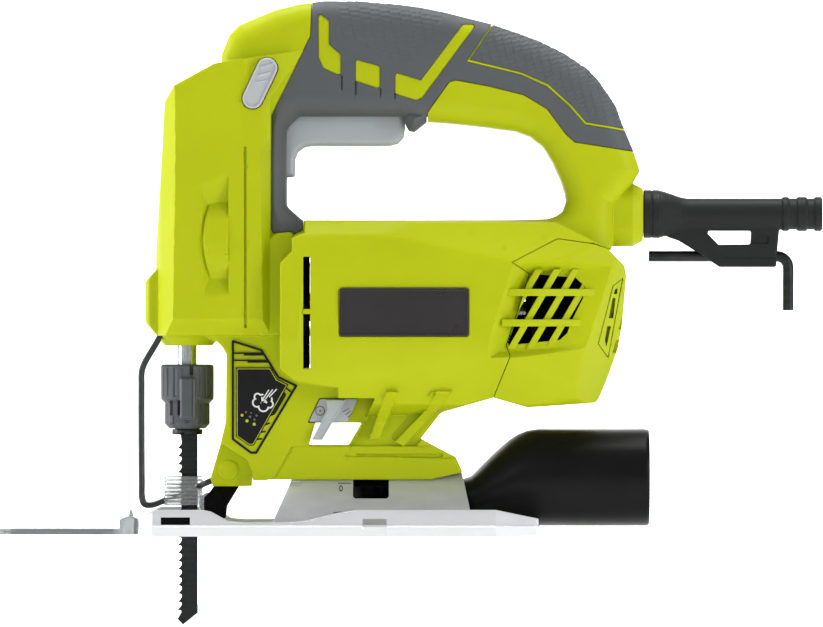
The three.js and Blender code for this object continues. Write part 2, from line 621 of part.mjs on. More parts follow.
function chipShield() {
  const outer = plan([[-68.6, -6.2], [-53.4, -6.2], [-53.4, 6.2], [-68.6, 6.2]], 11.2, 23.2);
  const inner = box(-67.4, -50, -5, 5, 0, 40);
  const wires = bar(guardPath(), WIRE_RADIUS + 0.35, 60);
  return largest(cut(outer, inner, wires));
}

function rollerFork() {
  const outline = [
    [-47.2, 28], [-45, 30.2], [-41, 30.2], [-38.6, 28], [-38.6, 20], [-44, 11.1], [-44.4, 6.4], [-50.5, 6.4],
    [-52.9, 8.5], [-52.9, 14.6], [-51.1, 16.2], [-49.1, 19],
  ];
  const jaws = box(-60, ROLLER.x + 5.2, -3.1, 3.1, 0, 18.4);
  const axle = rodY(1.35, -7, 7, ROLLER.x, ROLLER.z, 12);
  return cut(side(outline, -5.5, 5.5), jaws, axle, rodY(2.3, -8, 8, FORK_PIVOT.x, FORK_PIVOT.z, 16));
}

function guideRoller() {
  const { x, z, radius, halfWidth } = ROLLER;
  const groove = cut(rodY(radius + 1, -0.8, 0.8, x, z, 24), rodY(radius - 0.5, -1, 1, x, z, 24));
  return cut(rodY(radius, -halfWidth, halfWidth, x, z, 24), groove, rodY(1.4, -9, 9, x, z, 12));
}

// ---------------------------------------------------------------- shoe
function shoePlate() {
  const [x0, x1] = SHOE_X;
  const w = SHOE_HALF_WIDTH;
  const outline = [
    [x0, -w + 6], [x0 + 5, -w], [x1 - 6, -w], [x1, -w + 6], [x1, w - 6], [x1 - 6, w], [x0 + 5, w], [x0, w - 6],
  ];
  const rimSide = [
    [-77.6, 0.4], [-77.6, 6.8], [-70.8, 10.3], [-52.7, 10.3], [-41.7, 5.5], [-15.6, 5.5], [6.8, 10.3],
    [61, 10.3], [77.6, 6.7], [77.6, 0.4],
  ];
  const rim = common(side(rimSide, w - SHOE_RIM, w), plan(outline, 0, 20));
  const { halfWidth, back } = BLADE_NOTCH;
  const notch = plan([[-90, -halfWidth], [back - 4, -halfWidth], [back, -halfWidth + 4], [back, halfWidth - 4], [back - 4, halfWidth], [-90, halfWidth]], -5, 20);
  const guideSlots = [box(-69, -57.7, -FAR, FAR, 4.4, 7.4), box(9, 18.5, -FAR, FAR, 4.4, 7.4)];
  const keyHole = rodZ(6.5, -5, 10, BEVEL_SCREW_X);
  return cut(join(plan(outline, 0, SHOE_PLATE), rim, rim.mirror([0, 1, 0])), notch, keyHole, ...guideSlots);
}

// The pressed-steel bracket: a half tunnel about the tilt axis, slotted for the clamp screw.
function bevelBracket() {
  const sideOutline = [[-27.1, SHOE_PLATE + GAP], [-18.5, 22], [-17, 27], [46.9, 27], [47.6, 24], [50.5, 10.6], [50.5, SHOE_PLATE + GAP]];
  const tube = cut(
    rodX(ARCH_RADIUS, -40, 60, 0, { sides: 64 }),
    rodX(ARCH_RADIUS - ARCH_WALL, -50, 70, 0, { sides: 64 }),
  );
  const slot = box(5.2, 19.1, -FAR, FAR, 14.4, 40);
  return cut(common(tube, side(sideOutline, -FAR, FAR)), slot);
}

// The block under the bracket that the bevel screw pulls up against it. It belongs to the housing.
function clampSaddle() {
  const inner = ARCH_RADIUS - ARCH_WALL - 0.4;
  const block = common(rodX(inner, 5.8, 18.5, 0, { sides: 64 }), box(0, 30, -10, 10, 17.5, 40));
  return cut(block, rodZ(2.7, 0, 40, BEVEL_SCREW_X, { sides: 16 }));
}

function bevelScrew() {
  const profile = [[0, 12], [4.6, 12], [4.6, 17], [2.4, 17], [2.4, 36], [0, 36]];
  const socket = rodZ(2.35, 8, 15, BEVEL_SCREW_X, { sides: 6 });
  return cut(turnedZ(profile, BEVEL_SCREW_X, 20), socket);
}

// A thin clip-on plate in front of the shoe with a sight slot along the line of cut.
function lineGuide() {
  const tongue = plan([[-132.6, -11], [-130, -13], [-78.4, -13], [-78.4, 13], [-130, 13], [-132.6, 11]], 0.2, 2.6);
  const clip = side([[-85.6, 0.2], [-85.6, 6.2], [-82.5, 7.4], [-80.6, 7.4], [-78.4, 6.4], [-78.4, 0.2]], -13, 13);
  const pointer = side([[-82.2, 7], [-82.2, 9.8], [-80.4, 9.8], [-80.4, 7]], -1, 1);
  const sight = plan([[-128, -1.6], [-88, -1.6], [-88, 1.6], [-128, 1.6]], -5, 10);
  const clipGap = box(-90, -70, -3, 3, -1, 6.5);
  return cut(join(tongue, clip, pointer), sight, cut(clipGap, box(-90, -80, -9, 9, -5, 9)));
}

// ---------------------------------------------------------------- dust adapter
function dustAdapter() {
  const count = 28;
  const ring = (x, top, bottom, halfWidth, power) =>
    Array.from({ length: count }, (_, i) => {
      const angle = (2 * Math.PI * i) / count;
      const c = Math.cos(angle);
      const s = Math.sin(angle);
      const bend = (v) => Math.sign(v) * Math.abs(v) ** power;
      return vec(x, halfWidth * bend(c), (top + bottom) / 2 + ((top - bottom) / 2) * bend(s));
    });
  const { z, radius, wall, back } = DUST;
  const skin = (t, x0, x1) =>
    loft([
      ring(x0, 21.2 - t, 3.6 + t, 14.5 - t, 0.75),
      ring(51.2, 22.5 - t, 3.6 + t, 15.5 - t, 0.75),
      ring(56, 28 - t, 3.6 + t, 17 - t, 0.85),
      ring(63.2, 34.3 - t, z - radius + t, 18.2 - t, 0.95),
      ring(69, 38.8 - t, z - radius + t, radius - t, 1),
      ring(76, z + radius - t, z - radius + t, radius - t, 1),
      ring(x1, z + radius - t, z - radius + t, radius - t, 1),
    ]);
  return cut(skin(0, 40, back), skin(wall, 39, back + 1));
}

// ---------------------------------------------------------------- cord guard and key
function cordGuard() {
  const tube = turnedX(
    [
      [118.4, 0], [118.4, 9.4], [124.3, 9.4], [134.7, 6.1], [172.3, 6.1], [172.8, 6.7], [174.6, 6.7], [175.2, 6.1],
      [178, 6.1], [178.5, 6.7], [181.7, 6.7], [182.2, 6.1], [184.8, 6.1], [185.3, 6.7], [188, 6.7], [188, 0],
    ],
    CORD_Z,
    24,
  );
  const holder = side(
    [[126, 118], [128, 115.9], [132, 114.6], [138.8, 110.5], [148, 104.3], [170, 104.3], [171.2, 120], [140, 121]],
    -4.2, 4.2,
  );
  const gap = side([[142.3, 118.4], [160.3, 118.4], [160, 113.2], [147.5, 113]], -10, 10);
  const keyHole = rodX(2.75, 130, 180, 108.5, { sides: 16 });
  return cut(join(tube, holder), gap, keyHole, rodX(3.9, 100, 200, CORD_Z));
}

function hexKey() {
  const corner = vec(174.8, 0, 108.5);
  const points = [
    vec(120.4, 0, 108.5), vec(146, 0, 108.5), vec(170.5, 0, 108.5), vec(173, 0, 108.3), vec(174.6, 0, 107), vec(corner.x, 0, 104.5),
    vec(corner.x, 0, 96), vec(corner.x, 0, 87.4),
  ];
  const curve = new THREE.CatmullRomCurve3(points, false, "centripetal");
  const hexagon = Array.from({ length: 6 }, (_, i) => {
    const angle = (i * Math.PI) / 3;
    return [2.3 * Math.cos(angle), 2.3 * Math.sin(angle)];
  });
  return solid(new THREE.ExtrudeGeometry(shapeOf(hexagon), { steps: 26, extrudePath: curve, bevelEnabled: false }));
}

// ---------------------------------------------------------------- controls and electrics
function trigger() {
  const body = side(TRIGGER_SIDE, -7.6, 7.6);
  return cut(body, pinHole(TRIGGER_PIVOT, 1.7, 10));
}

function lockButton() {
  return side(BUTTON_SIDE, -HEAD_HALF_WIDTH - 1, -HEAD_HALF_WIDTH + 5);
}

function blowerLever() {
  return join(side(LEVER_PLATE, -15.6, -13.6), side(LEVER_BAR, -18.6, -13.6));
}

function switchBody() {
  return join(box(-6, 20, -9, 9, 174, 190), box(-2, 16, -7, 7, 190, 193));
}

function brushHolder(sign) {
  const ys = [sign * 13.5, sign * 27].sort((a, b) => a - b);
  const hollow = [sign * 10, sign * 25.5].sort((a, b) => a - b);
  return cut(
    box(44, 55, ys[0], ys[1], MOTOR_Z - 4.5, MOTOR_Z + 4.5),
    box(45.6, 53.4, hollow[0], hollow[1], MOTOR_Z - 3.1, MOTOR_Z + 3.1),
  );
}

function carbonBrush(sign) {
  const ys = [sign * 11.3, sign * 23].sort((a, b) => a - b);
  return box(46, 53, ys[0], ys[1], MOTOR_Z - 2.8, MOTOR_Z + 2.8);
}

// The black moulding that holds the rear bearing, with a fin behind the vents that parts the air stream.
function rearBearingBridge() {
  const outline = bothSides([[11, 60], [26.5, 74], [26.5, 98], [11, 113]]);
  const plate = section(outline, 74.5, 76.5);
  const fin = side([[60.5, 62], [99, 62], [103, 76], [104, 97], [96, 108], [60.5, 112]], -1, 1);
  const shaftRoom = rodX(5.5, 50, 87, MOTOR_Z);
  return cut(join(plate, fin), shaftRoom, rodX(9.2, 73, 90, MOTOR_Z, { sides: 28 }));
}

function housingScrew({ x, z, head }) {
  const socket = rodY(1.4, head + 1.2, head + 9, x, z, 6);
  return cut(join(rodY(3.2, head + 0.3, head + 3, x, z, 18), rodY(1.6, head - 20, head + 0.5, x, z, 12)), socket);
}

// ---------------------------------------------------------------- materials
const material = (color, roughness, metalness, extra = {}) =>
  new THREE.MeshStandardMaterial({ color, roughness, metalness, ...extra });

const green = material(0xb4c70f, 0.42, 0);
const greyGrip = material(0x55595c, 0.8, 0);
const triggerGrey = material(0xa3a8ab, 0.5, 0);
const black = material(0x17191a, 0.6, 0);
const darkGrey = material(0x4b4f50, 0.5, 0.2);
const castAluminium = material(0xe2e4e5, 0.45, 0.6);
const zincSteel = material(0xb4b9ba, 0.4, 0.9);
const brightSteel = material(0x9fa8a8, 0.25, 1);
const blackSteel = material(0x2c2d2d, 0.5, 0.8);
const copper = material(0xb06a3a, 0.35, 1);
const laminate = material(0x6f7476, 0.5, 0.9);
const bronze = material(0xa9803c, 0.45, 1);
const carbon = material(0x232323, 0.8, 0);
const clear = material(0xe6eaea, 0.1, 0, { transparent: true, opacity: 0.45 });

// ---------------------------------------------------------------- the assembly
const jigsaw = new THREE.Group();

function add(parent, name, manifold, look) {
  const mesh = new THREE.Mesh(geometryOf(manifold), look);
  mesh.name = name;
  parent.add(mesh);
}

const housing = new THREE.Group();
const wholeShell = wholeHousing();
add(housing, "housing_left", leftHalf(wholeShell), green);
add(housing, "housing_right", rightHalf(wholeShell), green);
add(housing, "rear_cover", rearCover(), green);
const grip = handleSkin(GRIP_SIDE);
add(housing, "grip_left", leftHalf(grip), greyGrip);
add(housing, "grip_right", rightHalf(grip), greyGrip);
const pad = handleSkin(PAD_SIDE);
add(housing, "heel_pad_left", leftHalf(pad), greyGrip);
add(housing, "heel_pad_right", rightHalf(pad), greyGrip);
add(housing, "badge_left", badge(-1), black);
add(housing, "badge_right", badge(1), black);
SCREWS.forEach((screw, i) => add(housing, `housing_screw_${i + 1}`, housingScrew(screw), blackSteel));
add(housing, "gear_frame", gearFrame(), castAluminium);
add(housing, "plunger_bush_lower", plungerBush(76.6, 81.4), bronze);
add(housing, "plunger_bush_upper", plungerBush(150, 157.5), bronze);
add(housing, "gear_shaft", gearShaft(), brightSteel);
add(housing, "front_bearing", bearing(10.5, 4.2, -39.2, -34.5, MOTOR_Z), brightSteel);
add(housing, "rear_bearing", bearing(8.9, 4.2, 74.6, 76.4, MOTOR_Z), brightSteel);
add(housing, "rear_bearing_bridge", rearBearingBridge(), black);
add(housing, "stator_core", stator(), laminate);
add(housing, "field_coil_upper", fieldCoil(41), copper);
add(housing, "field_coil_lower", fieldCoil(221), copper);
for (const [name, sign] of [["left", -1], ["right", 1]]) {
  add(housing, `brush_holder_${name}`, brushHolder(sign), bronze);
  add(housing, `carbon_brush_${name}`, carbonBrush(sign), carbon);
}
add(housing, "switch_body", switchBody(), black);
add(housing, "cord_guard", cordGuard(), black);
add(housing, "wire_guard", wireGuard(), darkGrey);
add(housing, "chip_shield", chipShield(), clear);
add(housing, "fork_pin", rodY(2, -9.3, 9.3, FORK_PIVOT.x, FORK_PIVOT.z, 16), brightSteel);
add(housing, "trigger_pin", rodY(1.4, -11, 11, TRIGGER_PIVOT.x, TRIGGER_PIVOT.z, 12), brightSteel);
add(housing, "clamp_saddle", clampSaddle(), blackSteel);

const bladeEnd = new THREE.Group();
add(bladeEnd, "plunger_rod", plungerRod(), brightSteel);
add(bladeEnd, "scotch_yoke", scotchYoke(), zincSteel);
add(bladeEnd, "yoke_slider", yokeSlider(), bronze);
add(bladeEnd, "clamp_core", clampCore(), blackSteel);
add(bladeEnd, "clamp_collar", clampCollar(), darkGrey);
add(bladeEnd, "blade", blade(), blackSteel);

const drive = new THREE.Group();
add(drive, "motor_shaft", motorShaft(), brightSteel);
add(drive, "armature_core", armatureCore(), laminate);
add(drive, "armature_winding", windingEnd(34.3, 41), copper);
add(drive, "commutator", commutator(), copper);
add(drive, "cooling_fan", coolingFan(), black);
add(drive, "drive_gear", driveGear(), zincSteel);
add(drive, "crank_pin", crankPin(), brightSteel);

const controls = new THREE.Group();
add(controls, "trigger", trigger(), triggerGrey);
add(controls, "lock_button", lockButton(), triggerGrey);
add(controls, "blower_lever", blowerLever(), triggerGrey);

const base = new THREE.Group();
add(base, "shoe", shoePlate(), castAluminium);
add(base, "bevel_bracket", bevelBracket(), zincSteel);
add(base, "bevel_screw", bevelScrew(), blackSteel);
add(base, "line_guide", lineGuide(), clear);
add(base, "dust_adapter", dustAdapter(), black);
add(base, "roller_fork", rollerFork(), black);
add(base, "guide_roller", guideRoller(), brightSteel);
add(base, "hex_key", hexKey(), blackSteel);

jigsaw.add(housing, bladeEnd, drive, controls, base);

export default jigsaw;
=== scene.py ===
"""Looks for a corded D-handle jigsaw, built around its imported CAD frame.

Each piece is a signed distance field in millimetres, negative inside, turned into a mesh in metres by
to_mesh. Coordinates are those of the CAD: -X is forward, -Y is the left side, +Z is up. w is the distance
from the centre plane, so a form in (x, w, z) is the same on both sides.
"""

import json
import math
from functools import reduce

import bmesh
import bpy
import numpy as np
import openvdb
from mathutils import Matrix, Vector

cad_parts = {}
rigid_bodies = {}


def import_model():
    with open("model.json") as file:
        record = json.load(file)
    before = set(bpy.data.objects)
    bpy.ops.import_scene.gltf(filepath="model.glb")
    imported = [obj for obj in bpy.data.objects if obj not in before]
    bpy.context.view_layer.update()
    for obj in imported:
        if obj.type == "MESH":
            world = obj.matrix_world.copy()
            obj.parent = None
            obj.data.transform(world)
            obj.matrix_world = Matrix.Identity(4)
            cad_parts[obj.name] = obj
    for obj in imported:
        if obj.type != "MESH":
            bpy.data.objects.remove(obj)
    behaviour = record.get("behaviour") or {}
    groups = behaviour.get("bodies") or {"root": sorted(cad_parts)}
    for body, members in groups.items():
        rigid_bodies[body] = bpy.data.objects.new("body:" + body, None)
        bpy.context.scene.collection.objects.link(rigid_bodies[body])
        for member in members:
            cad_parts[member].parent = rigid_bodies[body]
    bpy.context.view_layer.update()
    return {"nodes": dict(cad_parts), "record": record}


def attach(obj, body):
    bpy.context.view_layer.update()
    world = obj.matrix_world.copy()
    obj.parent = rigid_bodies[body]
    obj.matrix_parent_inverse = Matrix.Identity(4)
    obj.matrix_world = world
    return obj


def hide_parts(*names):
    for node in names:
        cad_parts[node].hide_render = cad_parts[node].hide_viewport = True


MM = 0.001
COARSE = 1.0
FLAT_MERGE = 0.004  # how readily flat parts of a surface get larger triangles

for old in list(bpy.data.objects):
    bpy.data.objects.remove(old)
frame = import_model()


# ---- signed distances
def polygon(a, b, points):
    """Signed distance in the plane to a closed outline, negative inside."""
    distance = np.full(np.broadcast(a, b).shape, 1e9, np.float32)
    inside = np.zeros(distance.shape, bool)
    for (ax, ay), (bx, by) in zip(points, points[1:] + points[:1]):
        ex, ey = bx - ax, by - ay
        px, py = a - ax, b - ay
        t = np.clip((px * ex + py * ey) / (ex * ex + ey * ey), 0, 1)
        distance = np.minimum(distance, (px - t * ex) ** 2 + (py - t * ey) ** 2)
        crosses = (ay > b) != (by > b)
        if ey:
            inside ^= crosses & (px < (b - ay) * ex / ey)
    return np.where(inside, -1, 1) * np.sqrt(distance)


def inset(points, distance):
    """An outline with its edges moved inwards by a distance, or outwards where it is negative."""
    area = sum(ax * by - bx * ay for (ax, ay), (bx, by) in zip(points, points[1:] + points[:1]))
    turn = math.copysign(1, area)
    edges = []
    for (ax, ay), (bx, by) in zip(points, points[1:] + points[:1]):
        ex, ey = bx - ax, by - ay
        length = math.hypot(ex, ey)
        edges.append((ax - turn * ey / length * distance, ay + turn * ex / length * distance, ex, ey))
    moved = []
    for (ax, ay, aex, aey), (bx, by, bex, bey) in zip(edges[-1:] + edges[:-1], edges):
        cross = aex * bey - aey * bex
        if abs(cross) < 1e-6:
            moved.append((bx, by))
            continue
        t = ((bx - ax) * bey - (by - ay) * bex) / cross
        moved.append((ax + t * aex, ay + t * aey))
    return moved


def outline(a, b, points, corner=0.0):
    """Like polygon, with outer corners rounded to a radius."""
    return polygon(a, b, inset(points, corner) if corner else points) - corner


def union(*fields, soft=0.0):
    """The fields together; soft is the width of the fillet between them."""
    return reduce(lambda p, q: -blended_max(-p, -q, soft), fields)


def common(*fields, soft=0.0):
    """Where all the fields overlap; soft rounds the edges between them."""
    return reduce(lambda p, q: blended_max(p, q, soft), fields)


def cut(body, *tools, soft=0.0):
    """The body without the tools."""
    return reduce(lambda p, q: blended_max(p, -q, soft), tools, body)


def blended_max(p, q, soft):
    """The larger of two fields, blended where they differ by less than soft."""
    if not soft:
        return np.maximum(p, q)
    mix = np.maximum(soft - np.abs(p - q), 0) / soft
    return np.maximum(p, q) + mix * mix * (soft / 4)


def facet(p1, p2, p3, inside=(30, 0, 90)):
    """A half space bounded by the plane through three points, for coordinates (x, w, z)."""
    p1, p2, p3 = (np.array(p, float) for p in (p1, p2, p3))
    normal = np.cross(p2 - p1, p3 - p1)
    normal /= np.linalg.norm(normal)
    if normal @ (np.array(inside, float) - p1) > 0:
        normal = -normal
    offset = normal @ p1
    return lambda x, w, z: normal[0] * x + normal[1] * w + normal[2] * z - offset


def rounded(flat, thick, radius_in, radius_out=None):
    """A prism from its flat distance and its distance across, with an elliptical edge."""
    radius_out = radius_out or radius_in
    a = np.maximum(flat + radius_in, 0) / radius_in
    b = np.maximum(thick + radius_out, 0) / radius_out
    edge = (np.sqrt(a * a + b * b) - 1) * min(radius_in, radius_out)
    core = np.maximum(flat, thick)
    return np.where((a > 0) & (b > 0), edge, core)


def slab(v, low, high):
    """Between two parallel planes."""
    return np.maximum(low - v, v - high)


def drum(a, b, centre, radius):
    """Inside a cylinder seen along its axis."""
    return np.hypot(a - centre[0], b - centre[1]) - radius


def limit(value, low, high):
    return np.minimum(np.maximum(value, low), high)


def turned(radius, along, profile, corner=0.0):
    """A turned body from its distance to the axis and its place along it."""
    mirrored = profile + [(-r, v) for r, v in reversed(profile) if r]
    return outline(radius, along, mirrored, corner)


def repeats(angle, count, phase=0.0):
    """How far an angle is from the middle of its division, with a turn divided evenly; 0.5 is the edge."""
    return np.abs(np.mod(angle * count / (2 * math.pi) + phase, 1) - 0.5)


def segment(x, z, a, b, half):
    """A bar with round ends, seen from the side."""
    ax, az = a
    ex, ez = b[0] - ax, b[1] - az
    t = np.clip(((x - ax) * ex + (z - az) * ez) / (ex * ex + ez * ez), 0, 1)
    return np.hypot(x - ax - t * ex, z - az - t * ez) - half


def capsule(x, y, z, a, b, radius):
    """A bar with round ends between two points."""
    a, b = np.array(a, float), np.array(b, float)
    along = b - a
    dx, dy, dz = x - a[0], y - a[1], z - a[2]
    t = np.clip((dx * along[0] + dy * along[1] + dz * along[2]) / (along @ along), 0, 1)
    dx, dy, dz = dx - t * along[0], dy - t * along[1], dz - t * along[2]
    return np.sqrt(dx * dx + dy * dy + dz * dz) - radius


# ---- surfaces from fields
def sampled(field, low, counts, voxel, block=16):
    """The field on a grid, worked out only in the blocks that its surface may cross."""
    band = 3 * voxel
    axes = [lo + voxel * np.arange(n, dtype=np.float32) for lo, n in zip(low, counts)]
    starts = [np.arange(0, n, block) for n in counts]
    reach = 0.87 * block * voxel * 1.35 + band
    middles = [lo + voxel * (start + block / 2) for lo, start in zip(low, starts)]
    coarse = field(middles[0][:, None, None], middles[1][None, :, None], middles[2][None, None, :])
    coarse = np.broadcast_to(coarse, [len(m) for m in middles])
    values = np.full(counts, band, np.float32)
    for i, a in enumerate(starts[0]):
        for j, b in enumerate(starts[1]):
            for k, c in enumerate(starts[2]):
                piece = values[a : a + block, b : b + block, c : c + block]
                if abs(coarse[i, j, k]) > reach:
                    piece[:] = math.copysign(band, coarse[i, j, k])
                    continue
                x, y, z = axes[0][a : a + block], axes[1][b : b + block], axes[2][c : c + block]
                piece[:] = np.clip(field(x[:, None, None], y[None, :, None], z[None, None, :]), -band, band)
    return values


def polygonise(field, low, high, voxel):
    """The zero surface of a field as triangles, with fewer of them where it is flat."""
    counts = [int(math.ceil((hi - lo) / voxel)) + 1 for lo, hi in zip(low, high)]
    band = 3 * voxel
    values = sampled(field, low, counts, voxel)
    values[[0, -1]] = band
    values[:, [0, -1]] = band
    values[:, :, [0, -1]] = band
    grid = openvdb.FloatGrid(band)
    grid.copyFromArray(values)
    points, triangles, quads = grid.convertToPolygons(isovalue=0.0, adaptivity=FLAT_MERGE)
    halves = [quads[:, [0, 1, 2]], quads[:, [0, 2, 3]]]
    if len(triangles):
        halves.append(triangles.reshape(-1, 3))
    return points * voxel + np.array(low), np.concatenate(halves)


def gradient(field, points, step):
    """How a field changes along x, y and z at points."""
    out = np.zeros_like(points)
    for axis in range(3):
        shift = np.zeros(3)
        shift[axis] = step
        ahead, behind = points + shift, points - shift
        out[:, axis] = field(*ahead.T) - field(*behind.T)
    return out / (2 * step)


def sharpened(points, faces, normals, reach):
    """Moves points beside a crease onto it, to where the planes of their neighbours meet."""
    pairs = np.concatenate([faces[:, [0, 1]], faces[:, [1, 2]], faces[:, [2, 0]]])
    pairs = np.unique(np.concatenate([pairs, pairs[:, ::-1]]), axis=0)
    here, there = pairs.T
    bent = np.zeros(len(points), bool)
    bent[here[(normals[here] * normals[there]).sum(1) < 0.8]] = True
    here, there = here[bent[here]], there[bent[here]]
    planes = np.zeros((len(points), 3, 3))
    sums = np.zeros((len(points), 3))
    across, at = normals[there], points[there]
    np.add.at(planes, here, across[:, :, None] * across[:, None, :])
    np.add.at(sums, here, across * (across * at).sum(1)[:, None])
    own = normals[bent]
    planes[bent] += own[:, :, None] * own[:, None, :] + 0.08 * np.eye(3)
    sums[bent] += own * (own * points[bent]).sum(1)[:, None] + 0.08 * points[bent]
    move = np.linalg.solve(planes[bent], sums[bent][:, :, None])[:, :, 0] - points[bent]
    size = np.maximum(np.linalg.norm(move, axis=1), 1e-9)[:, None]
    moved = points.copy()
    moved[bent] += move * np.minimum(1, reach / size) * (size < 2 * reach)
    return moved


def surface(name, field, low, high, voxel, settle=2):
    """The zero surface of a field as a mesh whose points lie on it and whose normals are the field's."""
    voxel *= COARSE
    start, faces = polygonise(field, low, high, voxel)
    points = start.copy()
    for _ in range(settle):
        slope = gradient(field, points, 0.05)
        size = np.maximum((slope * slope).sum(1), 0.05)
        step = (field(*points.T) / size)[:, None] * slope
        points = points - np.clip(step, -voxel * 0.6, voxel * 0.6)
    astray = np.abs(field(*points.T)) > 0.08
    points[astray] = start[astray]
    normals = gradient(field, points, 0.08)
    normals /= np.maximum(np.linalg.norm(normals, axis=1), 1e-6)[:, None]
    moved = sharpened(points, faces, normals, voxel * 0.7)
    stays = np.abs(field(*moved.T)) < 0.05
    points[stays] = moved[stays]
    return to_mesh(name, points, faces, gradient(field, points, 0.08))


def corner_normals(mesh, normals, crease=0.88):
    """The field's normal at each face corner, or the face's own where the corner lies on a sharp edge."""
    corner = np.empty(len(mesh.loops), np.int32)
    mesh.loops.foreach_get("vertex_index", corner)
    face = np.empty(len(mesh.polygons) * 3, np.float32)
    mesh.polygons.foreach_get("normal", face)
    face = np.repeat(face.reshape(-1, 3), 3, axis=0)
    length = np.maximum(np.linalg.norm(normals, axis=1), 1e-6)[:, None]
    smooth = (normals / length)[corner]
    sharp = (smooth * face).sum(1) < crease
    smooth[sharp] = face[sharp]
    return smooth.tolist()


def to_mesh(name, points, faces, normals=None):
    """An object from points in millimetres and triangles."""
    mesh = bpy.data.meshes.new(name)
    mesh.from_pydata([], [], [])
    mesh.vertices.add(len(points))
    mesh.vertices.foreach_set("co", (np.asarray(points) * MM).astype(np.float32).ravel())
    mesh.loops.add(len(faces) * 3)
    mesh.loops.foreach_set("vertex_index", np.asarray(faces, np.int32).ravel())
    mesh.polygons.add(len(faces))
    mesh.polygons.foreach_set("loop_start", np.arange(0, len(faces) * 3, 3, dtype=np.int32))
    mesh.polygons.foreach_set("use_smooth", np.ones(len(faces), bool))
    mesh.update(calc_edges=True)
    mesh.validate()
    if normals is not None and len(mesh.vertices) == len(normals):
        mesh.normals_split_custom_set(corner_normals(mesh, normals))
    piece = bpy.data.objects.new(name, mesh)
    bpy.context.scene.collection.objects.link(piece)
    return piece


# ---- housing outlines, [x, z]
HEAD = [
    (-71.6, 77.6), (-71.6, 110), (-71, 118.8), (-69.9, 135.9), (-69, 149.6), (-68, 168.3), (-64.1, 174.7),
    (-48.4, 183.2), (-27, 186.2), (-26.8, 165), (-26.8, 77.6),
]
NOSE_BLOCK = [(-60, 77.6), (-71.2, 77.6), (-75.7, 82.9), (-75.7, 98.7), (-71.2, 103.5), (-60, 103.5)]
LINK = [(-31, 77.6), (-31, 108), (-28.6, 114.2), (-24.4, 117.4), (-18, 118), (-18, 77.6)]
RECESS = [(-55, 138.7), (-43.1, 143), (-43.1, 86.1), (-54.4, 89.3)]
BARREL = [
    (-22.9, 64.8), (-22.9, 105.8), (-18.4, 110.3), (-18.4, 115.5), (-13.5, 117.5), (-13.5, 122.3),
    (64.7, 121.8), (84, 121.5), (104.4, 111), (110.7, 104.7), (111.5, 100.8), (110, 82.1), (108.4, 72.7),
    (103.9, 60.3), (100.8, 53.1), (99.5, 51.5), (73, 49.7), (59.6, 53.5), (39.5, 47.7), (0, 46),
    (-0.5, 57.3), (-17.2, 60),
]
COVER = [
    (84.5, 115.2), (66.8, 106), (73.7, 101.5), (64.6, 73.9), (66.1, 69.6), (59.8, 53.9), (59.6, 45),
    (116, 45), (116, 104.7), (104.4, 111.3), (98.7, 113.2),
]
WEB = [
    (-52.4, 77.8), (-50.4, 76.1), (-47.6, 75.2), (-45.6, 73.2), (-44, 70.4), (-44.3, 44.3), (-46.4, 35.5),
    (-50.3, 22.1), (-49.4, 19), (-33.8, 19), (-27.8, 21.6), (34.6, 21.6), (47.8, 24.5), (45.2, 30.2),
    (31.4, 37.4), (39.5, 47.7), (50, 58), (50, 80), (-30, 84),
]
MARKER = [(2.2, 26), (5.6, 26), (3.9, 22.8)]
HANDLE = [
    (-46, 160), (-46, 186.6), (-42.9, 194.4), (-39, 198.3), (-34.3, 200.3), (-25, 204.2), (-15.6, 206.5),
    (-6.2, 207.7), (7.8, 207.7), (21.8, 206.5), (31.2, 205.3), (40.6, 203.4), (49.9, 201), (59.3, 198.7),
    (68.6, 195.6), (78, 192.1), (87.4, 187.4), (96.7, 181.2), (101.2, 176.2), (107.6, 166.7),
    (110.7, 157.8), (114.2, 149.4), (116.8, 141.5), (114.4, 137.5), (106.4, 129), (106, 112), (100, 100),
    (-30, 100), (-30, 160),
]
OPENING = [
    (-20.7, 128), (-20.7, 158), (-16, 162.8), (23, 162.8), (30, 161), (42, 160.2), (54.6, 158.9),
    (68.6, 157), (74, 155), (79, 151), (82.5, 145.5), (85.8, 138.3), (87.6, 133), (88.1, 129.7),
    (86.8, 126), (84.2, 124.2), (81.1, 123), (66.3, 122.6), (-14.4, 122.4),
]
GRIP = [
    (-10.9, 215), (-10.9, 206.9), (-11.3, 194), (-26.5, 163.2), (-26.8, 118.6), (-25.6, 117.3),
    (-18.8, 116.4), (-14.3, 118.6), (-14.3, 126), (-16, 130), (-16, 160), (24.7, 161), (26.7, 157.2),
    (29.1, 156.7), (34.1, 160.7), (34.1, 164.2), (42.6, 176.1), (45.1, 176.8), (58, 174.4), (71.4, 171.1),
    (80.4, 165.7), (87.9, 155.7), (91.3, 152.7), (120, 148.2), (120, 155.7), (110.7, 157.2), (95.3, 159.7),
    (89.3, 166.7), (80.4, 174.6), (70.4, 179.1), (49.5, 184.1), (59, 198), (64, 215),
]
PAD = [
    (59.4, 198.2), (50.2, 184.7), (70.7, 179.6), (81, 175), (89.8, 167), (95.7, 160.3), (110.8, 157.8),
    (122, 156.4), (122, 215), (66, 215),
]
PLUNGER_X = -59.5
GEAR_Z = 115.0
CORD_Z = 125.0
MOTOR_Z = 87.0
HEAD_MIDDLE = (-50, 0, 120)
LOWER_PANEL = facet((-63.5, 28, 150.5), (-31, 28, 163.5), (-50, 25.4, 82), HEAD_MIDDLE)
UPPER_PANEL = facet((-63.5, 28, 150.5), (-31, 28, 163.5), (-50, 26.9, 184), HEAD_MIDDLE)
SHOULDER = facet((-40.5, 27.9, 186), (-31.2, 27.9, 164), (-25, 22.5, 186), HEAD_MIDDLE)
